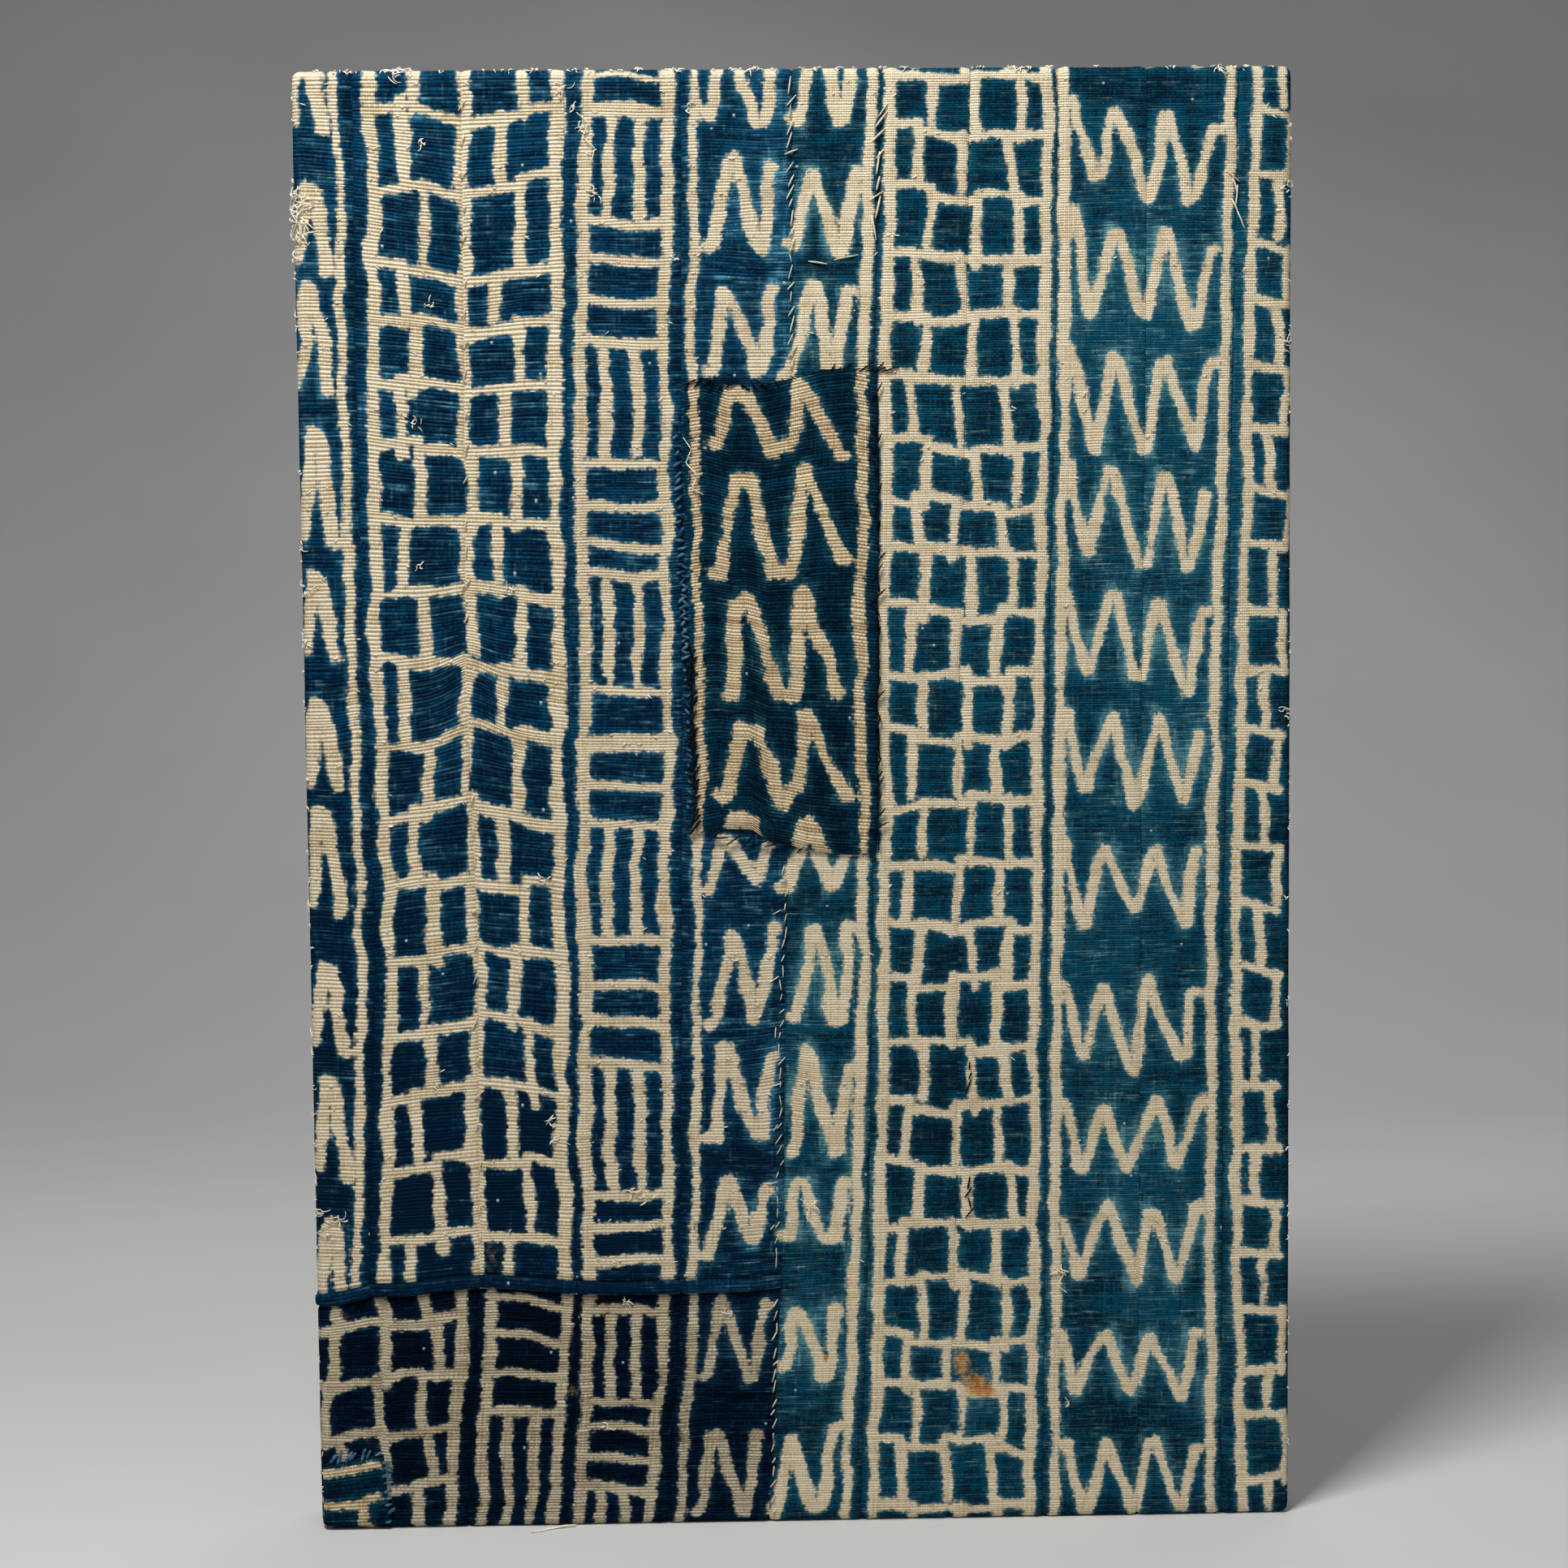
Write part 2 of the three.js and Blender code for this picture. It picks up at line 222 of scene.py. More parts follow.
def value_noise(x, y, seed):
    """Smooth noise from -1 to 1, the same on every run."""
    def lattice(i, j):
        n = (i * 374761393 + j * 668265263 + seed * 982451653) & 0xFFFFFFFF
        n = ((n ^ (n >> 13)) * 1274126177) & 0xFFFFFFFF
        return ((n ^ (n >> 16)) & 0xFFFF) / 32767.5 - 1
    x, y = np.broadcast_arrays(np.asarray(x, float), np.asarray(y, float))
    i, j = np.floor(x).astype(np.int64), np.floor(y).astype(np.int64)
    fx, fy = x - i, y - j
    fx, fy = fx * fx * (3 - 2 * fx), fy * fy * (3 - 2 * fy)
    upper = lattice(i, j) * (1 - fx) + lattice(i + 1, j) * fx
    lower = lattice(i, j + 1) * (1 - fx) + lattice(i + 1, j + 1) * fx
    return upper * (1 - fy) + lower * fy


def smooth(low, high, value):
    t = np.clip((value - low) / (high - low), 0, 1)
    return t * t * (3 - 2 * t)


class Strokes:
    """Resist marks as a hand draws them: short wavering segments, each with its half width."""

    # Distance given where no mark is near, what counts as near, and points looked at together
    FAR = 40.0
    NEAR = 14.0
    BLOCK = 2500

    def __init__(self, seed):
        self.rng = np.random.default_rng(seed)
        self.parts = []

    def line(self, points, half, wander=0.7, step=7.0):
        points = np.array(points, float)
        ends = [points[0]]
        for a, b in zip(points[:-1], points[1:]):
            count = max(1, int(np.hypot(*(b - a)) / step))
            ends += [a + (b - a) * (k + 1) / count for k in range(count)]
        ends = np.array(ends)
        ends += self.rng.normal(0, wander, ends.shape) * 0.6
        widths = half * (1.04 + self.rng.normal(0, 0.15, len(ends)))
        for k in range(len(ends) - 1):
            self.parts.append((*ends[k], *ends[k + 1], widths[k], widths[k + 1]))

    def distance(self, u, v):
        """Distance in millimetres to the nearest mark's edge, negative inside it."""
        parts = np.array(self.parts)
        nearest = np.full(u.shape, self.FAR)
        order = np.argsort(v)
        near = self.NEAR
        for block in np.array_split(order, max(1, len(order) // self.BLOCK)):
            bu, bv = u[block], v[block]
            keep = ((np.minimum(parts[:, 1], parts[:, 3]) < bv.max() + near)
                    & (np.maximum(parts[:, 1], parts[:, 3]) > bv.min() - near)
                    & (np.minimum(parts[:, 0], parts[:, 2]) < bu.max() + near)
                    & (np.maximum(parts[:, 0], parts[:, 2]) > bu.min() - near))
            found = nearest[block]
            for ax, ay, bx, by, wa, wb in parts[keep]:
                dx, dy = bx - ax, by - ay
                square = dx * dx + dy * dy + 1e-9
                t = np.clip(((bu - ax) * dx + (bv - ay) * dy) / square, 0, 1)
                away = np.hypot(bu - ax - t * dx, bv - ay - t * dy) - (wa + (wb - wa) * t)
                found = np.minimum(found, away)
            nearest[block] = found
        return nearest


def draw_borders(strokes, names, low=-REACH, high=HIGH + REACH):
    for name in names:
        levels = np.arange(low, high + 1, 12.0)
        points = [(border_at(name, v), v) for v in levels]
        strokes.line(points, ALL_BORDERS[name][1] * BORDER_SLIM, wander=0.6, step=12.0)


def draw_zigzag(strokes, rows, left, right, shares, half, jitter):
    """Rows of sharp waves between two borders; shares are runs of (share across, is a peak)."""
    for peak, foot, *drop in rows:
        middle = (peak + foot) / 2
        for run in shares:
            points = []
            for share, is_peak in run:
                u = across(left, right, share, middle) + strokes.rng.normal(0, jitter * 0.45)
                v = (peak if is_peak else foot) + strokes.rng.normal(0, jitter)
                v += sum(drop) * (share - 0.5)
                flat = 0.6 + abs(strokes.rng.normal(0, 0.8))
                points += [(u - flat, v), (u + flat, v + strokes.rng.normal(0, 0.8))]
            strokes.line(points, half, wander=0.55, step=9.0)


# How far an upright leans, as a standard deviation
UPRIGHT_LEAN = 1.6


def draw_crossbars(strokes, bars, left, right, places, uprights, half, step):
    """Bars across a column, and between them uprights in one set of places or the other by turns.

    At each upright the bar steps up or down a little, at random."""
    for number, bar in enumerate(bars):
        low, high = border_at(left, bar[0]), border_at(right, bar[0])
        breaks = [low + (high - low) * (share + strokes.rng.normal(0, 0.012))
                  for share in uprights[number % 2]]
        stops = [low, *breaks, high]
        lifts = [strokes.rng.choice((-0.5, 0.5)) * step * strokes.rng.uniform(0.2, 1)
                 for _ in stops[1:]]
        spots = [low + (high - low) * place for place in places]
        level = [np.interp(stop, spots, bar) for stop in stops]
        for k, lift in enumerate(lifts):
            strokes.line([(stops[k], level[k] + lift), (stops[k + 1], level[k + 1] + lift)],
                         half * (1 + strokes.rng.normal(0, 0.06)), wander=0.5)
        if number + 1 == len(bars):
            continue
        for k, u in enumerate(breaks):
            lean = strokes.rng.normal(0, UPRIGHT_LEAN)
            top = level[k + 1] + min(lifts[k], lifts[k + 1])
            foot = np.interp(u, spots, bars[number + 1])
            strokes.line([(u, top), (u + lean, foot + strokes.rng.normal(0, step * 0.3))],
                         half * (1.15 + strokes.rng.normal(0, 0.1)), wander=0.5)


def draw_rung(strokes, left, right, v, middle_drop, drop, half, **brush):
    """A bar across a ladder, lower in its middle and at its right end by these drops."""
    low, high = border_at(left, v), border_at(right, v)
    strokes.line([(low, v), ((low + high) / 2, v + middle_drop), (high, v + drop)], half, **brush)


WAVE_SHARES = (
    ((0.09, False), (0.20, True), (0.37, False), (0.475, True)),
    ((0.555, False), (0.68, True), (0.82, False), (0.935, True)),
)
PATCH_SHARES = (
    ((0.13, False), (0.24, True), (0.31, True), (0.49, False), (0.56, False), (0.65, True),
     (0.87, False)),
)
FADE_SHARES = (
    ((0.04, True), (0.165, False), (0.31, True), (0.50, False), (0.63, True), (0.80, False),
     (0.92, True)),
)


def main_marks():
    """Every mark on the strips above the rolled seam and right of it."""
    strokes = Strokes(11)
    draw_borders(strokes, [name for name in BORDERS if name not in UPPER_ONLY])
    draw_borders(strokes, UPPER_ONLY, high=ROLL_LINE[0][1] + 4)
    for peak, foot in EDGE_WAVE_ROWS:
        for shift in (0, -31, -62):
            top = peak + strokes.rng.normal(0, 2)
            wave = ((1, foot - 4), (6.5, top), (10, top + 2), (16.5, foot))
            strokes.line([(u + shift, v) for u, v in wave], 3.3, wander=0.6, step=9.0)
    draw_crossbars(strokes, GRID_BARS, "grid_left", "grid_right", (0, 0.22, 0.5, 1),
                   ((0.17, 0.50, 0.69), (0.26, 0.505, 0.80)), 2.35, 6.5)
    ladder = ("ladder_left", "ladder_right")
    for v, drop, half in RUNGS:
        draw_rung(strokes, *ladder, v, drop * 0.6, drop, half * 0.88, step=12)
    for span in UPRIGHT_SPANS:
        for share in (0.30, 0.66):
            strokes.line([(across(*ladder, share, v), v) for v in span], 2.6, wander=0.6)
    draw_zigzag(strokes, WAVE_ROWS, "wave_left", "wave_right", WAVE_SHARES, 2.85, 2.8)
    draw_crossbars(strokes, MESH_BARS, "mesh_left", "mesh_right", (0, 0.34, 0.67, 1),
                   ((0.255, 0.55, 0.82), (0.175, 0.47, 0.75)), 2.0, 6.0)
    draw_zigzag(strokes, FADE_ROWS, "fade_left", "fade_right", FADE_SHARES, 2.35, 3.0)
    for number, (v, drop) in enumerate(EDGE_BARS):
        low = border_at("edge_left", v)
        for shift in (0, 34, 68):
            strokes.line([(low + shift, v), (low + 22 + shift, v + drop)], 2.0)
            if number + 1 < len(EDGE_BARS):
                away = (13 if number % 2 else 20) + shift + strokes.rng.normal(0, 1.5)
                spots = [(low + away, v + drop * 0.6), (low + away, EDGE_BARS[number + 1][0])]
                strokes.line(spots, 2.1)
    return strokes


def draw_ladder(strokes, left, right, level, pitch, upright):
    """Four rungs and then a pair of uprights, by turns down a column."""
    while level < HIGH + REACH:
        for _ in range(4):
            v, drop = level + strokes.rng.normal(0, 1.2), strokes.rng.uniform(2, 7)
            draw_rung(strokes, left, right, v, 1, drop, 2.0, wander=0.6, step=10.0)
            level += pitch
        level -= pitch
        for share in (0.3, 0.66):
            spots = [(across(left, right, share + strokes.rng.normal(0, 0.02), v), v)
                     for v in (level + 3, level + upright)]
            strokes.line(spots, 2.4, wander=0.6, step=10.0)
        level += upright


def lower_marks():
    """Marks below the rolled seam: a grid, two ladders and the zigzags, each by its own rule."""
    strokes = Strokes(23)
    draw_borders(strokes, list(LOWER_BORDERS)[1:], low=LOWER_TOP)
    levels = np.arange(LOWER_TOP, HIGH + REACH, LOWER_GRID_PITCH)
    bars = [(v + 6, v + 4, v, v - 5) for v in levels]
    draw_crossbars(strokes, bars, "lower_left", "lower_grid", (0, 0.3, 0.6, 1),
                   ((0.24, 0.52, 0.78), (0.3, 0.57, 0.84)), 2.2, 5.0)
    draw_ladder(strokes, "third_left", "third_right", 632, 19.5, 72)
    draw_ladder(strokes, "fourth_left", "fourth_right", 592, 15.5, 46)
    draw_zigzag(strokes, WAVE_ROWS[9:], "wave_left", "wave_right", WAVE_SHARES, 2.5, 3.0)
    return strokes


def patch_marks():
    strokes = Strokes(31)
    draw_borders(strokes, ("wave_left", "wave_right"), 140, 410)
    draw_zigzag(strokes, PATCH_WAVE_ROWS, "wave_left", "wave_right", PATCH_SHARES, 3.0, 2.6)
    return strokes


def corner_marks():
    strokes = Strokes(41)
    for half, points in CORNER_MARKS:
        strokes.line(points, half, wander=0.3)
    return strokes


# Weaves: spacing of the weft and warp threads, mesh rows for each weft thread, and the ribs' height
WEAVES = {
    "coarse": {"weft": 1.85, "warp": 1.35, "rows": 4, "rib": 0.20},
    "middle": {"weft": 1.55, "warp": 1.24, "rows": 3, "rib": 0.17},
    "fine": {"weft": 1.25, "warp": 1.2, "rows": 1, "rib": 0.0},
    "mended": {"weft": 1.55, "warp": 1.25, "rows": 3, "rib": 0.26},
    "patch": {"weft": 1.62, "warp": 1.05, "rows": 3, "rib": 0.26},
}
# Mesh step across a strip
MESH_ACROSS = 2.3
# Where the wefts slope: strip number, then (v, drop to the right for each millimetre across)
WEFT_SLOPES = {
    1: ((0, 0), (40, 0.08), (300, 0.04), (560, 0.02), (620, 0)),
    2: ((0, 0), (30, 0.13), (180, 0.12), (240, 0), (330, -0.12), (420, -0.08), (600, -0.04),
        (620, 0)),
    3: ((0, 0), (30, -0.06), (200, 0.0), (300, 0.12), (450, 0.1), (560, 0.06), (620, 0)),
}
# Where a thread pull lifts the wefts: u, v, reach across, reach down, lift
PULLS = ((85, 318, 13, 34, 6.5), (246, 520, 10, 40, 2.5), (28, 330, 8, 60, 2.0))
# Soft folds: u, v of both ends, half width, height
FOLDS = (
    (84, 292, 86, 346, 3.2, 1.3), (90, 300, 96, 350, 4.0, -0.6), (78, 300, 75, 350, 4.0, -0.5),
    (10, 60, 14, 190, 9.0, 0.6), (205, 410, 240, 600, 14.0, 0.5),
    (262, 410, 268, 600, 12.0, -0.4), (150, 300, 152, 620, 14.0, 0.4),
    (330, 30, 332, 300, 16.0, 0.4), (420, 80, 424, 360, 15.0, 0.4), (60, 640, 62, 745, 12.0, 0.4),
    (110, 650, 112, 745, 12.0, 0.35), (440, 480, 442, 740, 14.0, 0.35),
)
# Soft patches where the blue is lighter (positive) or darker (negative), the darker ones mostly
# toward the lower left: u, v, reach across, reach down
TONES = (
    (258, 470, 14, 70, 0.35), (256, 600, 14, 90, 0.4), (430, 480, 40, 60, 0.25),
    (130, 575, 110, 70, -0.4), (20, 440, 30, 160, -0.2), (250, 95, 9, 60, 0.5),
    (100, 690, 110, 70, -0.35), (330, 560, 60, 120, -0.1), (230, 60, 22, 60, 0.25),
    (60, 60, 30, 60, 0.12), (430, 110, 38, 60, 0.75), (430, 240, 36, 90, 0.6),
    (455, 330, 20, 60, 0.4), (430, 385, 30, 60, 0.35), (340, 250, 40, 200, 0.2),
    (480, 200, 20, 200, 0.3), (405, 500, 30, 120, 0.3), (440, 640, 30, 60, 0.55),
    (425, 575, 26, 40, 0.45), (340, 690, 50, 50, 0.35), (235, 655, 40, 40, 0.45),
    (60, 560, 60, 60, -0.25), (110, 420, 30, 120, -0.15), (17, 733, 26, 26, 0.3),
    (165, 600, 24, 40, -0.1), (30, 480, 28, 120, -0.2),
)
# Where the dye bled and left a pale halo round the marks
BLEEDS = (
    (264, 90, 22, 80, 0.8), (264, 480, 26, 90, 0.8), (264, 600, 26, 100, 0.95),
    (430, 320, 44, 50, 0.6), (225, 590, 14, 30, 0.5), (246, 290, 46, 110, 0.75),
    (250, 90, 12, 70, 0.7), (236, 560, 22, 60, 0.4), (20, 560, 16, 30, 0.5),
    (8, 175, 14, 45, 0.9), (5, 90, 12, 30, 0.6), (12, 250, 14, 30, 0.6), (430, 105, 44, 60, 1.0),
    (430, 250, 44, 80, 0.9), (435, 400, 40, 60, 0.85), (430, 560, 44, 90, 0.8),
    (440, 620, 30, 40, 0.8), (435, 690, 44, 50, 0.95), (232, 640, 40, 34, 0.8),
    (238, 60, 40, 70, 0.35), (340, 660, 50, 60, 0.4),
)
# Rust and dirt
STAINS = (
    (335.5, 668, 4.2, 7, 1.4), (342.5, 680, 7, 6, 1.3), (347, 684, 6, 3, 0.8),
    (264, 665, 2.4, 2.4, 1.3), (130, 680, 7, 5, 0.6), (91, 607, 5, 18, 0.45),
    (168, 573, 5, 5, 0.5), (183, 621, 6, 4, 0.5), (352, 684, 9, 6, 0.5), (12, 640, 12, 10, 0.35),
)

BEND = math.pi * EDGE_RADIUS / 2
WALL_END = BEND + DEEP - 2 * EDGE_RADIUS
BACK_START = WALL_END + BEND
FOLD_STEPS = (*np.linspace(0, BEND, 6)[1:], *np.linspace(BEND, WALL_END, 9)[1:],
              *np.linspace(WALL_END, BACK_START, 6)[1:],
              *(BACK_START + (BACK_MARGIN - EDGE_RADIUS) * np.linspace(0, 1, 6)[1:]))
# How far the raw edge on the back dips toward the wood
RIM_TUCK = 1.2
# At a seam the cloth's edge curls down this far within this width and laps past the seam line
SEAM_CURL = 0.9
CURL_WIDE = 0.7
SEAM_LAP = 0.3
# The panel's outer edges turn over, so they count as this much further from any seam
NO_SEAM = 9
# Distances from a strip's ends over which sloping wefts level out and meet the end's own line
SLOPE_FADE = 40
END_BLEND = 30


def blobs(table, u, v):
    total = np.zeros_like(u)
    for bu, bv, ru, rv, amount in table:
        total += amount * np.exp(-((u - bu) / ru) ** 2 - ((v - bv) / rv) ** 2)
    return total


def fold_height(u, v):
    total = 0.22 * value_noise(u / 42, v / 58, 5) + 0.1 * value_noise(u / 15, v / 19, 6)
    for au, av, bu, bv, half, high in FOLDS:
        du, dv = bu - au, bv - av
        t = np.clip(((u - au) * du + (v - av) * dv) / (du * du + dv * dv), 0, 1)
        away = np.hypot(u - au - t * du, v - av - t * dv)
        total += high * np.exp(-(away / half) ** 2)
    return total * bpy.context.scene.ndop_cloth.fold_scale


def seam_u(number, v):
    return lerp_levels(SEAMS[number - 1], v)


def lower_seam_u(number, v):
    return np.interp(v, LOWER_LEVELS, LOWER_SEAMS[number - 1])


def roll_v(u):
    return np.interp(u, [p[0] for p in ROLL_LINE], [p[1] for p in ROLL_LINE])


def foot_line(u):
    """Lower edge of the rolled seam, where the upper cloth ends and the lower cloth starts."""
    return roll_v(u) + ROLL_HALF


def roll_height(u, v):
    share = np.interp(u, [p[0] for p in ROLL_LINE], [p[2] for p in ROLL_LINE])
    round_off = np.clip(1 - ((v - roll_v(u)) / ROLL_HALF) ** 2, 0, 1)
    return ROLL_HIGH * share * np.sqrt(round_off)


def rib_rows(start, end, weave, seed):
    """Row levels from start to end with their thread counts; some wefts are thicker than others."""
    rng = np.random.default_rng(seed)
    count = max(2, round((end - start) / weave["weft"]))
    heights = np.clip(1 + rng.normal(0, 0.16, count), 0.6, 1.5)
    edges = np.concatenate([[0], np.cumsum(heights)])
    edges = start + edges * (end - start) / edges[-1]
    fine = np.arange(count * weave["rows"] + 1) / weave["rows"]
    return np.interp(fine, np.arange(count + 1), edges), fine


def folded(base_u, base_v, out_u, out_v, away):
    """Place on the panel of a point away millimetres outward from where the flat front ends."""
    r = EDGE_RADIUS
    turn = np.clip(away / r, 0, math.pi / 2)
    back_turn = np.clip((away - WALL_END) / r, 0, math.pi / 2)
    wall = np.clip(away - BEND, 0, WALL_END - BEND)
    back = np.maximum(0, away - BACK_START)
    out = r * np.sin(turn) - r * (1 - np.cos(back_turn)) - back
    depth = r * (1 - np.cos(turn)) + wall + r * np.sin(back_turn)
    lean = turn + back_turn
    place = np.stack([base_u + out_u * out, FRONT_Y + depth, HIGH - base_v - out_v * out], -1)
    normal = np.stack([out_u * np.sin(lean), -np.cos(lean), -out_v * np.sin(lean)], -1)
    place[..., 0] -= WIDE / 2
    return place, normal


def build_mesh(name, places, faces, fields, material):
    mesh = bpy.data.meshes.new(name)
    mesh.from_pydata((np.asarray(places) * MM).tolist(), [], faces)
    for field, values in fields.items():
        mesh.attributes.new(field, "FLOAT", "POINT").data.foreach_set(
            "value", np.asarray(values, np.float32))
    mesh.materials.append(material)
    mesh.polygons.foreach_set("use_smooth", [True] * len(mesh.polygons))
    mesh.update()
    made = bpy.data.objects.new(name, mesh)
    bpy.context.scene.collection.objects.link(made)
    return made


def grid_faces(rows, columns):
    index = np.arange(rows * columns).reshape(rows, columns)
    quads = np.stack([index[:-1, :-1], index[1:, :-1], index[1:, 1:], index[:-1, 1:]], -1)
    return quads.reshape(-1, 4).tolist()


def cloth_fields(u, v, warp, weft, strokes, rolled=False):
    sway_u = 1.5 * value_noise(u / 46, v / 23, 81) + 0.7 * value_noise(u / 16, v / 9, 82)
    sway_v = 1.7 * value_noise(u / 21, v / 44, 83) + 0.7 * value_noise(u / 9, v / 16, 84)
    mark = strokes.distance(u + sway_u, v + sway_v)
    if rolled:
        on_roll = 1 - smooth(ROLL_HALF - 0.8, ROLL_HALF + 1.0, np.abs(v - roll_v(u)))
        mark = np.maximum(mark, 7 * on_roll - 2 - 40 * (on_roll == 0))
    return {
        "warp_count": warp, "weft_count": weft, "mark": mark,
        "tone": blobs(TONES, u, v), "bleed": np.clip(blobs(BLEEDS, u, v), 0, 1),
        "stain": blobs(STAINS, u, v),
    }


def strip_edges(name):
    """A strip's number, its four edge functions, and whether it is below or at the rolled seam."""
    lower = name.startswith("lower")
    number = int(name[-2:])
    last = MENDED_STRIPS if lower else len(SEAMS) + 1
    seam = lower_seam_u if lower else seam_u
    rolled = number <= MENDED_STRIPS

    def left(v):
        return EDGE_RADIUS + 0 * v if number == 1 else seam(number - 1, v) - SEAM_LAP

    def right(v):
        if number < last:
            return seam(number, v) + SEAM_LAP
        return seam_u(number, v) + SEAM_LAP if lower else WIDE - EDGE_RADIUS + 0 * v

    def top(u):
        return foot_line(u) if lower else EDGE_RADIUS + 0 * u

    def foot(u):
        return foot_line(u) if rolled and not lower else HIGH - EDGE_RADIUS + 0 * u

    return number, left, right, top, foot, lower, rolled


def weft_shift(u, v, slope, middle, coarse, seed):
    """How far down the wefts lie from level: sloped, wavering, and bowed up by thread pulls."""
    shift = np.zeros_like(v)
    if slope:
        shift += np.interp(v, [s[0] for s in slope], [s[1] for s in slope]) * (u - middle)
    shift += 1.1 * value_noise(u / 30, v / 24, seed) * (1.2 if coarse else 0.5)
    for pu, pv, ru, rv, lift in PULLS:
        shift -= lift * np.exp(-((u - pu) / ru) ** 2 - ((v - pv) / rv) ** 2)
    return shift


def seam_relief(from_edge, v, number, seed):
    """Height beside the seams: puckered down at the seam, swelling next to it, curled under."""
    pucker = value_noise(v / 5.5, 0 * v + number, seed + 3)
    relief = -(0.55 + 0.22 * pucker) * np.exp(-(from_edge / 2.6) ** 2)
    relief += (0.35 + 0.15 * pucker) * np.exp(-((from_edge - 4.6) / 2.4) ** 2)
    return relief - SEAM_CURL * np.clip(1 - from_edge / CURL_WIDE, 0, 1)


def rib_relief(u, counts, weave, seed):
    """Height of the weft ribs; each thread is thick and thin along its length."""
    slub = 1 + 0.55 * value_noise(u / 16, np.floor(counts + 0.5) * 3.7, seed + 9)
    rib_high = weave["rib"] * bpy.context.scene.ndop_cloth.rib_scale
    return rib_high * slub * np.cos(2 * math.pi * counts)


def turned_rows(base_u, base_v, out_u, out_v, lift, seed):
    """Distance outward and places of each row of the cloth that turns over the panel's edge."""
    for step in (*FOLD_STEPS, FOLD_STEPS[-1] + 0.4):
        away = np.full(len(base_u), step)
        if step > BACK_START:
            ragged = value_noise((base_u + base_v) / 9, 0 * base_u, seed + 5)
            away = away + ragged * (step - BACK_START) / 16
        place, normal = folded(base_u, base_v, out_u, out_v, away)
        wobble = 0.25 * value_noise((base_u + base_v) / 12, away / 11, seed + 7)
        height = lift + wobble * min(1, step / 12)
        if step > FOLD_STEPS[-1]:
            height = height - RIM_TUCK
        yield away, place + normal * height[:, None]


def strip_mesh(name, weave, strokes, material):
    number, left, right, top, foot, lower, rolled = strip_edges(name)
    seed = number * 17 + (200 if lower else 0)
    middle = (left(300.0) + right(300.0)) / 2
    start, end = float(top(middle)), float(foot(middle))
    levels, counts = rib_rows(start, end, weave, seed)
    wide = float(right(levels).mean() - left(levels).mean())
    share = np.linspace(0, 1, max(6, round(wide / MESH_ACROSS)) + 1)
    curl_share = np.array([0, 0.35, 1.0]) / wide
    share = np.unique(np.concatenate([share, curl_share, 1 - curl_share]))
    columns = len(share)
    v = np.repeat(levels[:, None], columns, 1)
    u = left(v) + share[None, :] * (right(v) - left(v))
    # The wefts settle to each end's own line
    fade = smooth(start, start + SLOPE_FADE, v) * (1 - smooth(end - SLOPE_FADE, end, v))
    slope = WEFT_SLOPES.get(0 if lower else number)
    v = v + weft_shift(u, v, slope, middle, weave["rows"] > 1, seed) * fade
    v += (top(u) - start) * (1 - smooth(start, start + END_BLEND, v))
    v += (foot(u) - end) * smooth(end - END_BLEND, end, v)
    v[0], v[-1] = top(u[0]), foot(u[-1])
    u = left(v) + share[None, :] * (right(v) - left(v))
    from_edge = np.minimum(u - left(v) + (NO_SEAM if number == 1 else 0),
                           right(v) - u + (NO_SEAM if number == len(SEAMS) + 1 else 0))
    folds = fold_height(u, v)
    plain = seam_relief(from_edge, v, number, seed) + folds
    if rolled:
        plain += roll_height(u, v)
        beside = np.abs(v - roll_v(u)) - ROLL_HALF
        plain -= 0.8 * np.exp(-(beside / 1.3) ** 2) * (beside > -0.6)
    counts_grid = np.repeat(counts[:, None], columns, 1)
    relief = plain + rib_relief(u, counts_grid, weave, seed) * np.clip(from_edge / 2, 0.15, 1)
    places = [np.stack([u - WIDE / 2, FRONT_Y - relief, HIGH - v], -1).reshape(-1, 3)]
    faces = grid_faces(len(levels), columns)
    # Places on the flat cloth and thread counts, in the same order as the places
    warp_grid = share[None, :] * wide / weave["warp"] + 0 * v + number * 61
    weft_grid = counts_grid + (700 if lower else 0)
    flat = [[u.ravel(), v.ravel(), warp_grid.ravel(), weft_grid.ravel()]]
    total = u.size
    margin_lift = (plain - folds * 0.6).ravel()
    for chain in turned_chains(number, np.arange(total).reshape(v.shape), lower, rolled):
        ids, out_u, out_v = (np.array(part) for part in zip(*chain))
        base = [values[ids] for values in flat[0]]
        previous = ids
        for away, place in turned_rows(*base[:2], out_u, out_v, margin_lift[ids], seed):
            places.append(place)
            spread = (1, 1, 1 / weave["warp"], 1 / weave["weft"])
            out = (out_u, out_v, out_u, out_v)
            flat.append([b + o * away * s for b, o, s in zip(base, out, spread)])
            row = total + np.arange(len(ids))
            faces += np.stack([row[:-1], previous[:-1], previous[1:], row[1:]], -1).tolist()
            previous, total = row, total + len(ids)
    fields = cloth_fields(*(np.concatenate(part) for part in zip(*flat)), strokes, rolled)
    faces = [tuple(dict.fromkeys(face)) for face in faces]
    return build_mesh("cloth_" + name, above_floor(places), faces, fields, material)


def above_floor(places):
    """All of these places in one list, with nothing below the surface that the panel stands on."""
    places = np.concatenate(places)
    places[:, 2] = np.maximum(places[:, 2], 0)
    return places


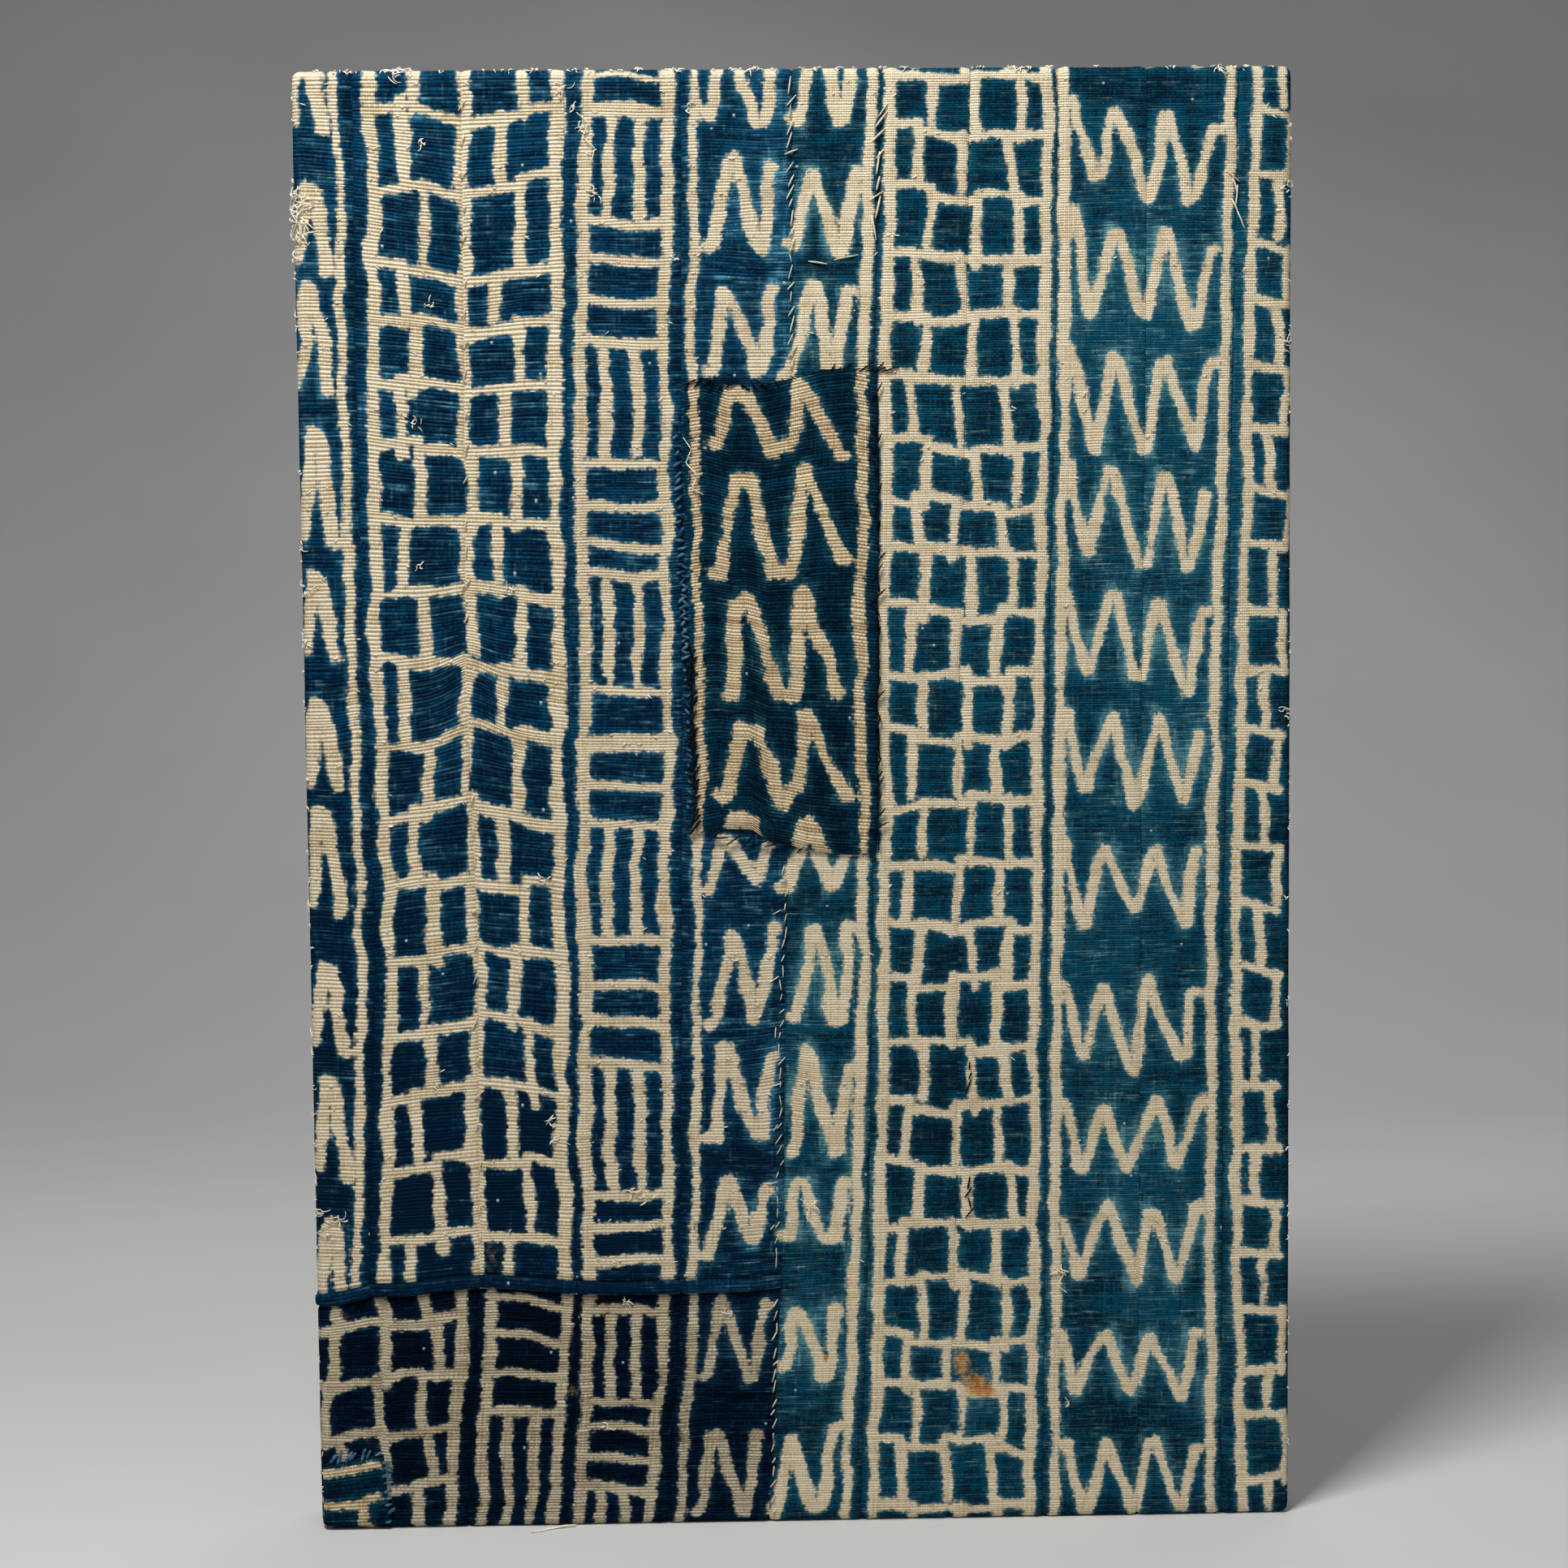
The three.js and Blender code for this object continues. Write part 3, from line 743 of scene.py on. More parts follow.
def turned_chains(number, index, lower, rolled):
    """Edges of the front that turn over, clockwise, as (vertex, outward u, outward v)."""
    first, last = number == 1, number == len(SEAMS) + 1
    corner = [math.radians(a) for a in (22.5, 45, 67.5)]
    top = [(i, 0, -1) for i in index[0]]
    bottom = [(i, 0, 1) for i in index[-1][::-1]]
    left_side = [(i, -1, 0) for i in index[1:-1, 0][::-1]]
    right_side = [(i, 1, 0) for i in index[1:-1, -1]]
    upper_left = [(index[0, 0], -math.cos(a), -math.sin(a)) for a in corner]
    lower_left = [(index[-1, 0], -math.sin(a), math.cos(a)) for a in corner]
    upper_right = [(index[0, -1], math.sin(a), -math.cos(a)) for a in corner]
    lower_right = [(index[-1, -1], math.cos(a), math.sin(a)) for a in corner]
    if first and lower:
        return [bottom + lower_left + left_side + [(index[0, 0], -1, 0)]]
    if first:
        return [[(index[-1, 0], -1, 0)] + left_side + upper_left + top]
    if last:
        return [top + upper_right + right_side + lower_right + bottom]
    if lower:
        return [bottom]
    return [top] if rolled else [top, bottom]


def outline_inset(u, v):
    """Distance in from the panel's outline, which has rounded corners."""
    near_u, near_v = np.minimum(u, WIDE - u), np.minimum(v, HIGH - v)
    rounded = CORNER_RADIUS - np.hypot(CORNER_RADIUS - near_u, CORNER_RADIUS - near_v)
    at_corner = (near_u < CORNER_RADIUS) & (near_v < CORNER_RADIUS)
    return np.where(at_corner, rounded, np.minimum(near_u, near_v))


def along(points, share):
    points = np.array(points, float)
    run = np.concatenate([[0], np.cumsum(np.hypot(*np.diff(points, axis=0).T))])
    return np.stack([np.interp(share * run[-1], run, points[:, k]) for k in (0, 1)], -1)


# How far a patch stands out from the cloth below it, and how deep its rim turns down
PATCH_PROUD = 1.5
PATCH_RIM = 1.15


def patch_mesh(name, edges, weave, strokes, material, seed):
    """A patch between four edge lines, with its rim turned under down to the cloth."""
    top, foot, left, right = edges
    high = abs(left[-1][1] - left[0][1])
    levels, counts = rib_rows(0, high, weave, seed)
    t = (levels / high)[:, None]
    wide = abs(right[0][0] - left[0][0])
    columns = round(wide / MESH_ACROSS) + 1
    edge = np.array([0.5, 1.3]) / wide
    s = np.unique(np.concatenate([np.linspace(0, 1, columns), edge, 1 - edge]))[None, :]
    rows, columns = len(levels), s.shape[1]
    a, b = along(top, s[0])[None], along(foot, s[0])[None]
    c, d = along(left, t[:, 0])[:, None], along(right, t[:, 0])[:, None]
    t3, s3 = t[:, :, None], s[:, :, None]
    corners = ((1 - t3) * ((1 - s3) * a[:, :1] + s3 * a[:, -1:])
               + t3 * ((1 - s3) * b[:, :1] + s3 * b[:, -1:]))
    flat = (1 - t3) * a + t3 * b + (1 - s3) * c + s3 * d - corners
    u, v = flat[..., 0], flat[..., 1]
    inset = outline_inset(u, v)
    short = np.clip(0.95 - inset, 0, None)
    toward = np.stack([np.sign(WIDE / 2 - u) * 0.7, np.sign(HIGH / 2 - v) * 0.7], -1)
    if short.max() > 0:
        flat = flat + toward * short[..., None] * 1.2
        u, v = flat[..., 0], flat[..., 1]
        inset = outline_inset(u, v)
    big = EDGE_RADIUS + PATCH_PROUD
    drop = big - np.sqrt(np.maximum(big ** 2 - np.clip(EDGE_RADIUS - inset, 0, None) ** 2, 0))
    grid_counts = np.repeat(counts[:, None], columns, 1)
    from_edge = np.minimum(np.minimum(s, 1 - s) * wide, np.minimum(t, 1 - t) * high)
    rib = rib_relief(u, grid_counts, weave, seed) * np.clip(from_edge / 2, 0.2, 1)
    relief = PATCH_PROUD - drop + rib + 0.5 * fold_height(u, v)
    relief += 0.3 * np.exp(-((from_edge - 4) / 2.4) ** 2) - 0.35 * np.exp(-(from_edge / 1.6) ** 2)
    places = [np.stack([u - WIDE / 2, FRONT_Y - relief, HIGH - v], -1).reshape(-1, 3)]
    faces = grid_faces(rows, columns)
    index = np.arange(rows * columns).reshape(rows, columns)
    rim = np.concatenate([index[0, :-1], index[:-1, -1], index[-1, :0:-1], index[:0:-1, 0]])
    total, previous = rows * columns, rim
    for sunk in (PATCH_RIM * 0.5, PATCH_RIM):
        place = places[0][rim] + np.array([0, sunk, 0])
        places.append(place)
        row = total + np.arange(len(rim))
        faces += np.stack([row, previous, np.roll(previous, -1), np.roll(row, -1)], -1).tolist()
        previous, total = row, total + len(rim)
    warp = (s * wide / weave["warp"] + 0 * u + 900).ravel()
    weft = grid_counts.ravel() + 1500
    pick = np.concatenate([np.arange(rows * columns), rim, rim])
    fields = cloth_fields(u.ravel()[pick], v.ravel()[pick], warp[pick], weft[pick], strokes)
    return build_mesh(name, np.concatenate(places), faces, fields, material)


def tint(red, green, blue):
    """A display colour from 0 to 255 a channel, as the linear colour that shaders take."""
    def linear(c):
        c /= 255
        return c / 12.92 if c <= 0.04045 else ((c + 0.055) / 1.055) ** 2.4
    return (linear(red), linear(green), linear(blue), 1.0)


class Value:
    """A shader socket that takes part in ordinary arithmetic."""

    def __init__(self, tree, socket):
        self.tree, self.socket = tree, socket

    def node(self, kind, settings, values, output=0):
        """Any other node: its settings first, then its inputs by name or number."""
        made = self.tree.nodes.new(kind)
        for name, setting in settings.items():
            setattr(made, name, setting)
        for name, value in values.items():
            if isinstance(value, Value):
                self.tree.links.new(value.socket, made.inputs[name])
            else:
                made.inputs[name].default_value = value
        return Value(self.tree, made.outputs[output])

    def math(self, operation, *others):
        values = dict(enumerate((self, *others)))
        return self.node("ShaderNodeMath", {"operation": operation}, values)

    def __add__(self, other):
        return self.math("ADD", other)

    def __sub__(self, other):
        return self.math("SUBTRACT", other)

    def __mul__(self, other):
        return self.math("MULTIPLY", other)

    __rmul__ = __mul__

    def __rsub__(self, other):
        return (self * -1).math("ADD", other)

    def floor(self):
        return self.math("FLOOR")

    def sine(self):
        return self.math("SINE")

    def maximum(self, other):
        return self.math("MAXIMUM", other)

    def over(self, other):
        return self.math("GREATER_THAN", other)

    def blend(self, low, high):
        """0 below low and 1 above high, smooth between."""
        return self.node("ShaderNodeMapRange", {"interpolation_type": "SMOOTHSTEP"},
                         {"Value": self, "From Min": low, "From Max": high})

    def vector(self, other, third=0.0):
        return self.node("ShaderNodeCombineXYZ", {}, {"X": self, "Y": other, "Z": third})

    def noise(self, other, across, down, detail=1.0, third=0.0):
        """Smooth noise from 0 to 1 over this value and another, each at its own scale."""
        spot = (self * across).vector(other * down, third)
        return self.node("ShaderNodeTexNoise", {"noise_dimensions": "3D"},
                         {"Vector": spot, "Scale": 1.0, "Detail": detail})

    def random(self, seed):
        spot = self.vector(seed)
        return self.node("ShaderNodeTexWhiteNoise", {"noise_dimensions": "3D"}, {"Vector": spot})

    def mix(self, low, high):
        """Colour between low and high by this value."""
        return self.node("ShaderNodeMix", {"data_type": "RGBA"}, {0: self, 6: low, 7: high}, 2)


def new_material(name, roughness):
    material = bpy.data.materials.new(name)
    material.use_nodes = True
    surface = material.node_tree.nodes["Principled BSDF"]
    surface.inputs["Roughness"].default_value = roughness
    surface.inputs["Specular IOR Level"].default_value = 0.04
    return material, material.node_tree, surface


def attribute(tree, name):
    node = tree.nodes.new("ShaderNodeAttribute")
    node.attribute_name = name
    return Value(tree, node.outputs["Fac"])


# Dye tones of the four cloths: deepest, usual and worn blue, and clean and dirty cream; then
# how far the marks' edges jag along the wefts and the warps, and how strongly the threads show
DYES = {
    "cloth_coarse": {"deep": (0, 28, 52), "usual": (0, 66, 98), "worn": (84, 150, 174),
                     "cream": (231, 217, 187), "dirty": (200, 179, 141), "jag": (2.1, 1.0),
                     "thread": 0.6, "streak": 0.75, "speck": 0.9990},
    "cloth_fine": {"deep": (0, 32, 52), "usual": (0, 78, 104), "worn": (106, 164, 172),
                   "cream": (245, 230, 198), "dirty": (218, 196, 155), "jag": (1.5, 1.1),
                   "thread": 0.8, "streak": 0.5, "speck": 0.9997},
    "cloth_mended": {"deep": (0, 12, 30), "usual": (0, 36, 64), "worn": (58, 108, 134),
                     "cream": (212, 199, 170), "dirty": (166, 148, 117), "jag": (1.9, 1.0),
                     "thread": 0.9, "streak": 0.5, "speck": 0.9994},
    "cloth_patch": {"deep": (0, 24, 44), "usual": (0, 60, 84), "worn": (62, 124, 136),
                    "cream": (236, 216, 178), "dirty": (190, 162, 120), "jag": (2.4, 1.2),
                    "thread": 1.0, "streak": 0.45, "speck": 0.9997},
}
# Undyed specks, the rust stain's two tones, and the linear colour of the painted shade between
# threads
SPECK = (206, 220, 226)
OCHRE_PALE = (222, 192, 132)
OCHRE_DEEP = (198, 122, 34)
PAINTED_SHADE_BETWEEN_THREADS = (0.008, 0.014, 0.018, 1)


def plain_weave(x, y):
    """Each thread's row and column number, where the weft shows, and the threads' height."""
    row, column = (y + 0.5).floor(), x.floor()
    row_high = ((y + 0.5 - row) * math.pi).sine()
    column_high = ((x - column) * math.pi).sine()
    weft_over = ((x + row) * math.pi).sine() * 0.5 + 0.5
    warp_over = 0.5 - 0.5 * ((y + 0.5 + column) * math.pi).sine()
    weft_height = row_high * (weft_over * 0.45 + 0.55)
    warp_height = column_high * (warp_over * 0.8)
    weft_shows = (weft_height - warp_height).over(0.0)
    return row, column, weft_shows, weft_height.maximum(warp_height)


def dyed_material(name):
    """The woven, dyed look of a cloth, thread by thread, from the fields on its mesh."""
    dye = DYES[name]
    material, tree, surface = new_material("Dyed " + name, 0.95)
    x, y = attribute(tree, "warp_count"), attribute(tree, "weft_count")
    mark, tone = attribute(tree, "mark"), attribute(tree, "tone")
    bleed, stain = attribute(tree, "bleed"), attribute(tree, "stain")
    row, column, weft_shows, height = plain_weave(x, y)
    weft_jag, warp_jag = dye["jag"]
    by_weft = x.noise(row, 0.33, 5.31, 1.5) - 0.5
    by_warp = y.noise(column, 0.35, 4.77, 1.0, 9.0) - 0.5
    slow = x.noise(y, 0.11, 0.09, 2.0, 4.0) - 0.5
    edge = mark + by_weft * (2 * weft_jag) + by_warp * (2 * warp_jag) + slow * 1.8
    dyed = edge.blend(-0.75, 0.95)

    patchy = x.noise(y, 0.045, 0.04, 3.0, 2.0)
    mottle = x.noise(y, 0.16, 0.14, 3.0, 21.0)
    cell = column.random(row)
    thread_tone = row.random(3.0) * weft_shows + column.random(7.0) * (1 - weft_shows)
    deepness = ((patchy - 0.5) * 1.5 + (mottle - 0.5) * 1.3 + (thread_tone - 0.5) * 0.8
                + (cell - 0.5) * 0.45 + edge.blend(0.2, 5.5) * 0.45 - tone * 0.9 + 0.36)
    blue = deepness.blend(0.0, 1.0).mix(tint(*dye["usual"]), tint(*dye["deep"]))
    streak = x.noise(row, 0.085, 6.13, 3.0, 5.0).blend(0.46, 0.78)
    brush = x.noise(y, 0.05, 1.7, 4.0, 27.0).blend(0.48, 0.70)
    cross = y.noise(column, 0.12, 5.71, 3.0, 15.0).blend(0.50, 0.80)
    fleck = x.noise(y, 0.9, 1.3, 1.0, 6.0).blend(0.62, 0.76)
    smudge = x.noise(y, 0.13, 0.045, 2.0, 24.0).blend(0.36, 0.68)
    halo = (1 - edge.blend(0.2, 8.0)) * bleed * smudge * (brush * 0.6 + cross * 0.4 + 0.55)
    worn = (streak * 0.75 + brush * 0.6 + cross * 0.5) * dye["streak"] + fleck * 0.2
    worn = (worn * (mottle * 2.4 - 0.45) * (tone * 0.9 + 1)).maximum(0.0) + tone * 0.12
    worn = worn + halo * 0.95 + (1 - edge.blend(0.2, 2.6)) * 0.22
    worn = worn * (thread_tone * 0.5 + cell * 0.3 + 0.6)
    blue = worn.blend(0.0, 1.25).mix(blue, tint(*dye["worn"]))
    grime = x.noise(y, 0.08, 0.07, 3.0, 8.0).blend(0.35, 0.8)
    shade = grime * 0.45 + (thread_tone - 0.5) * 0.8 + by_weft * 0.6 + 0.22
    cream = shade.blend(0.0, 1.0).mix(tint(*dye["cream"]), tint(*dye["dirty"]))
    blue = (cell.over(dye["speck"]) * 0.6).mix(blue, tint(*SPECK))
    colour = dyed.mix(cream, blue)
    rust = (stain * (x.noise(y, 0.5, 0.4, 3.0, 11.0) * 1.7 - 0.1)).blend(0.2, 0.95) * 0.85
    ochre = (stain * x.noise(y, 0.35, 0.3, 2.0, 17.0)).blend(0.3, 0.7)
    colour = rust.mix(colour, ochre.mix(tint(*OCHRE_PALE), tint(*OCHRE_DEEP)))
    # Painted shade between the threads: where they lie low the colour darkens toward the painted
    # shade colour, more on the blue, so the crowns look lit
    painted_crown_light = height.blend(0.12, 0.62)
    painted_shade_depth = dyed * 0.26 + 0.28
    colour = (painted_crown_light * painted_shade_depth + (1 - painted_shade_depth)).mix(PAINTED_SHADE_BETWEEN_THREADS, colour)
    tree.links.new(colour.socket, surface.inputs["Base Color"])

    fuzz = x.noise(y, 1.9, 2.6, 2.0, 12.0)
    bump = height + fuzz * 0.5 + x.noise(row, 0.22, 3.1, 1.0) * 0.7
    normal = bump.node("ShaderNodeBump", {}, {"Height": bump, "Strength": dye["thread"],
                                              "Distance": 0.0009})
    tree.links.new(normal.socket, surface.inputs["Normal"])
    return material


def plain_material(name, light, dark, scale, roughness, rise):
    """Thread, wood or backdrop: two tones mottled in object coordinates, with a slight bump."""
    material, tree, surface = new_material(name, roughness)
    place = Value(tree, tree.nodes.new("ShaderNodeTexCoord").outputs["Object"])
    spot = place.node("ShaderNodeMapping", {}, {"Vector": place, "Scale": scale})
    noise = spot.node("ShaderNodeTexNoise", {}, {"Vector": spot, "Scale": 1.0, "Detail": 3.0})
    tree.links.new(noise.blend(0.3, 0.7).mix(tint(*light), tint(*dark)).socket,
                   surface.inputs["Base Color"])
    if rise:
        bump = noise.node("ShaderNodeBump", {},
                          {"Height": noise, "Strength": 0.4, "Distance": rise})
        tree.links.new(bump.socket, surface.inputs["Normal"])
    return material


def wood_material():
    grain = (240, 240, 16)
    return plain_material("Planed softwood", (214, 178, 128), (186, 144, 92), grain, 0.7, 0.0003)


# Sewing stitches in runs: u and v of both ends, spacing, stitch length, its angle above the
# horizontal in degrees, thickness and how proud it arches
CREAM_RUNS = (
    (252.5, 6, 251.5, 152, 6.4, 3.8, 64, 0.6, 0.8), (246, 404, 239, 618, 6.6, 2.8, 78, 0.5, 0.7),
    (242, 420, 237, 610, 24, 2.8, 40, 0.5, 0.8), (238.5, 632, 236, 748, 6.4, 3.2, 66, 0.6, 0.8),
    (299, 16, 294.5, 84, 7.0, 5.6, 66, 0.8, 1.1), (477, 52, 481.5, 80, 5.0, 6.5, -55, 0.7, 1.0),
    (260, 99, 288, 94, 13, 8.5, 8, 0.7, 0.9), (86.5, 10, 84, 285, 17, 3.4, 62, 0.6, 0.8),
    (85, 360, 86, 610, 19, 3.4, 70, 0.6, 0.8),
)
BLUE_RUNS = (
    (192.5, 184, 195.5, 300, 4.2, 2.4, 35, 1.3, 1.1),
    (195.5, 250, 197.5, 378, 4.4, 2.2, -30, 1.2, 1.0),
    (5, 714.5, 32, 711.5, 3.4, 3.6, 70, 1.5, 1.4), (34.2, 714, 35.6, 749, 3.6, 3.4, 20, 1.5, 1.4),
)
DARK_RUNS_AND_SHADOW_LINE = (
    (196, 158, 222, 159, 3.8, 4.6, 50, 0.7, 1.2), (224, 161, 262, 156, 5.4, 4.0, -40, 0.7, 1.1),
    (262, 153.5, 304, 152, 3.6, 5.0, 35, 0.7, 1.2),
    # This run down the long patch's right edge is dark thread that also stands in for a painted
    # shadow line along that edge
    (295.3, 160, 294.3, 396, 6.4, 5.6, 80, 0.8, 1.0),
    (198, 292, 200.5, 388, 3.6, 4.6, 65, 0.9, 1.2), (204, 390, 290, 401, 6.2, 4.6, 20, 0.7, 1.0),
    (340.5, 508, 340, 526, 5.0, 3.6, 80, 0.8, 0.8),
    (340, 570, 339.5, 592, 5.0, 3.6, 80, 0.8, 0.8),
)
# Tufts of broken thread: u, v, how far they reach, how many threads
TUFTS = (
    (1, 64, 9, 14), (2, 74, 10, 18), (4, 84, 8, 12), (0, 92, 6, 8), (5, 70, 7, 10),
    (0, 240, 5, 6), (2, 262, 5, 6), (1, 290, 5, 5), (0, 425, 5, 6), (3, 584, 6, 8),
    (5, 596, 6, 9), (14, 588, 5, 6), (52, 1, 7, 12), (56, 0, 6, 8), (122, 0, 4, 5),
    (150, 0, 4, 5), (193, 0, 5, 6), (233, 0, 5, 6), (366, 0, 5, 7), (373, 0, 5, 6),
    (470, 0, 6, 8), (137, 10, 6, 9), (143, 18, 5, 6), (66, 36, 4, 6), (68, 118, 4, 5),
    (61, 178, 4, 6), (122, 538, 5, 7), (125, 548, 4, 6), (165, 575, 6, 10), (172, 579, 5, 7),
    (391, 691, 4, 5), (200, 20, 5, 5), (192, 96, 4, 5), (60, 250, 4, 5), (106, 262, 4, 5),
    (147, 30, 5, 8), (152, 62, 5, 8), (505, 62, 5, 6), (507, 140, 5, 5), (506, 330, 5, 5),
    (507, 480, 5, 5), (258, 585, 5, 6), (388, 622, 6, 5), (160, 634, 5, 6), (214, 640, 4, 5),
    (150, 700, 4, 5), (122, 412, 4, 5), (130, 300, 4, 5),
)
# A thread end that trails on the surface before the panel: u, y and height of each point
FOOT_THREAD = (
    (133, -19.5, 1.0), (127, -21.0, 1.1), (121, -23.0, 0.6), (115, -26.2, 0.5), (110, -28.4, 0.5),
)
FOOT_THREAD_RADIUS = 0.7
# Spots tried for a nep, of which those on an undyed mark get one
NEP_TRIES = 2600
# How finely the fibres of a sewing or loose thread are mottled
FIBRE_SCALE = (300, 300, 300)
# Hairs that stand out along the top, left and right edges, in pairs
RIM_HAIRS = (60, 50, 36)
# Single loose threads along points of the cloth: radius, how proud they lie, then (u, v) points
LOOSE_THREADS = (
    (0.30, 1.6, ((196, 186), (200, 192), (197, 199), (203, 205), (200, 212), (206, 215))),
    (0.26, 1.4, ((252, 580), (257, 584), (255, 590), (260, 595))),
    (0.26, 1.4, ((384, 618), (389, 622), (386, 628), (391, 632))),
    (0.28, 1.3, ((144, 22), (150, 27), (147, 34), (153, 40), (151, 47))),
    (0.28, 1.5, ((2, 60), (-2, 68), (3, 76), (-1, 85))),
)


def surface_point(u, v, proud=0.0):
    """Place and outward normal on the cloth, on the front or over the bends beside it."""
    r = EDGE_RADIUS
    flat_u, flat_v = min(max(u, r), WIDE - r), min(max(v, r), HIGH - r)
    out_u, out_v = u - flat_u, v - flat_v
    away = math.hypot(out_u, out_v)
    if away > 0:
        out_u, out_v = out_u / away, out_v / away
    spot = [np.array([float(n)]) for n in (flat_u, flat_v, out_u, out_v, away)]
    place, normal = folded(*spot)
    height = float(fold_height(spot[0], spot[1])[0])
    if v < foot_line(u) + 1 and v > foot_line(u) - 3 * ROLL_HALF and u < seam_u(MENDED_STRIPS, v):
        height += float(roll_height(np.array([u]), np.array([v]))[0])
    beside = PATCH_LEFT[0][0] + 1 < u < PATCH_RIGHT[0][0]
    if beside and PATCH_SPAN[0] < v < PATCH_SPAN[1]:
        height += PATCH_PROUD
    return place[0] + normal[0] * (height + proud), normal[0]


def stitch_spots(runs, seed):
    """Every stitch of the runs as (place, turn, size), a little uneven."""
    rng = np.random.default_rng(seed)
    spots = []
    for u0, v0, u1, v1, spacing, length, angle, thick, proud in runs:
        count = max(2, int(math.hypot(u1 - u0, v1 - v0) / spacing))
        for k in range(count):
            t = (k + 0.5 + rng.normal(0, 0.12)) / count
            u = u0 + (u1 - u0) * t + rng.normal(0, 0.5)
            v = v0 + (v1 - v0) * t
            place, normal = surface_point(u, v, 0.1)
            a = math.radians(angle + rng.normal(0, 17))
            ahead = Vector((math.cos(a), 0, math.sin(a)))
            out = Vector(normal)
            side = out.cross(ahead).normalized()
            turn = Matrix((side.cross(out), side, out)).transposed().to_euler()
            size = (length * rng.uniform(0.55, 1.25), thick * rng.uniform(0.8, 1.2), proud)
            spots.append((place * MM, turn, np.array(size) * MM))
    return spots


def stitch_nodes():
    """Geometry Nodes that turn every point into an arched stitch of thread."""
    tree = bpy.data.node_groups.new("Arched stitches", "GeometryNodeTree")
    face = tree.interface
    face.new_socket("Geometry", in_out="OUTPUT", socket_type="NodeSocketGeometry")
    face.new_socket("Geometry", in_out="INPUT", socket_type="NodeSocketGeometry")
    face.new_socket("Thread Radius", in_out="INPUT", socket_type="NodeSocketFloat")
    face.new_socket("Sides", in_out="INPUT", socket_type="NodeSocketInt")
    face.new_socket("Thread", in_out="INPUT", socket_type="NodeSocketMaterial")
    add, link = tree.nodes.new, tree.links.new
    given, result = add("NodeGroupInput"), add("NodeGroupOutput")
    arch, ring = add("GeometryNodeCurveQuadraticBezier"), add("GeometryNodeCurvePrimitiveCircle")
    arch.inputs["Resolution"].default_value = 6
    for name, spot in (("Start", (-0.5, 0, 0)), ("Middle", (0, 0, 1.6)), ("End", (0.5, 0, 0))):
        arch.inputs[name].default_value = spot
    link(given.outputs["Sides"], ring.inputs["Resolution"])
    link(given.outputs["Thread Radius"], ring.inputs["Radius"])
    tube = add("GeometryNodeCurveToMesh")
    tube.inputs["Fill Caps"].default_value = True
    link(arch.outputs["Curve"], tube.inputs["Curve"])
    link(ring.outputs["Curve"], tube.inputs["Profile Curve"])
    spread = add("GeometryNodeInstanceOnPoints")
    link(given.outputs["Geometry"], spread.inputs["Points"])
    link(tube.outputs["Mesh"], spread.inputs["Instance"])
    for name, socket in (("turn", "Rotation"), ("size", "Scale")):
        read = add("GeometryNodeInputNamedAttribute")
        read.data_type = "FLOAT_VECTOR"
        read.inputs["Name"].default_value = name
        link(read.outputs["Attribute"], spread.inputs[socket])
    real, paint = add("GeometryNodeRealizeInstances"), add("GeometryNodeSetMaterial")
    link(spread.outputs["Instances"], real.inputs["Geometry"])
    link(real.outputs["Geometry"], paint.inputs["Geometry"])
    link(given.outputs["Thread"], paint.inputs["Material"])
    link(paint.outputs["Geometry"], result.inputs["Geometry"])
    return tree


def sewn_stitches(name, runs, material, seed):
    spots = stitch_spots(runs, seed)
    points = bpy.data.meshes.new(name + "_points")
    points.from_pydata([tuple(s[0]) for s in spots], [], [])
    for field, column in (("turn", 1), ("size", 2)):
        made = points.attributes.new(field, "FLOAT_VECTOR", "POINT")
        made.data.foreach_set("vector", np.array([tuple(s[column]) for s in spots]).ravel())
    piece = bpy.data.objects.new(name, points)
    bpy.context.scene.collection.objects.link(piece)
    tree = bpy.data.node_groups.get("Arched stitches") or stitch_nodes()
    grow = piece.modifiers.new("Stitches", "NODES")
    grow.node_group = tree
    wanted = {"Thread Radius": 0.55, "Sides": 6, "Thread": material}
    for item in tree.interface.items_tree:
        if item.in_out == "INPUT" and item.name in wanted:
            grow[item.identifier] = wanted[item.name]
    graph = bpy.context.evaluated_depsgraph_get()
    solid = bpy.data.meshes.new_from_object(piece.evaluated_get(graph), depsgraph=graph)
    piece.modifiers.remove(grow)
    piece.data = solid
    solid.polygons.foreach_set("use_smooth", [True] * len(solid.polygons))
    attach(piece, BODY)
    return piece


def tube(points, radius, sides=5):
    """Vertices and faces of a closed thread along points, thinner toward its ends."""
    points = np.array(points, float)
    ahead = np.gradient(points, axis=0)
    ahead /= np.linalg.norm(ahead, axis=1)[:, None] + 1e-9
    side = np.cross(ahead, [0.31, 0.42, 0.85])
    side /= np.linalg.norm(side, axis=1)[:, None] + 1e-9
    up = np.cross(side, ahead)
    taper = radius * (0.55 + 0.45 * np.sin(np.linspace(0.25, math.pi - 0.25, len(points))))
    turns = np.arange(sides) * 2 * math.pi / sides
    ring = side[:, None] * np.cos(turns)[:, None] + up[:, None] * np.sin(turns)[:, None]
    places = (points[:, None] + ring * taper[:, None, None]).reshape(-1, 3)
    faces = []
    for k in range(len(points) - 1):
        for s in range(sides):
            n = (s + 1) % sides
            faces.append((k * sides + s, k * sides + n, (k + 1) * sides + n, (k + 1) * sides + s))
    faces.append(tuple(range(sides - 1, -1, -1)))
    faces.append(tuple((len(points) - 1) * sides + s for s in range(sides)))
    return places, faces


def thread_object(name, threads, material):
    """All of these threads, each (points in millimetres, radius), joined in one piece."""
    places, faces, start = [], [], 0
    for points, radius in threads:
        made, sides = tube(points, radius)
        places.append(made)
        faces += [tuple(start + i for i in face) for face in sides]
        start += len(made)
    piece = build_mesh(name, above_floor(places), faces, {}, material)
    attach(piece, BODY)
    return piece


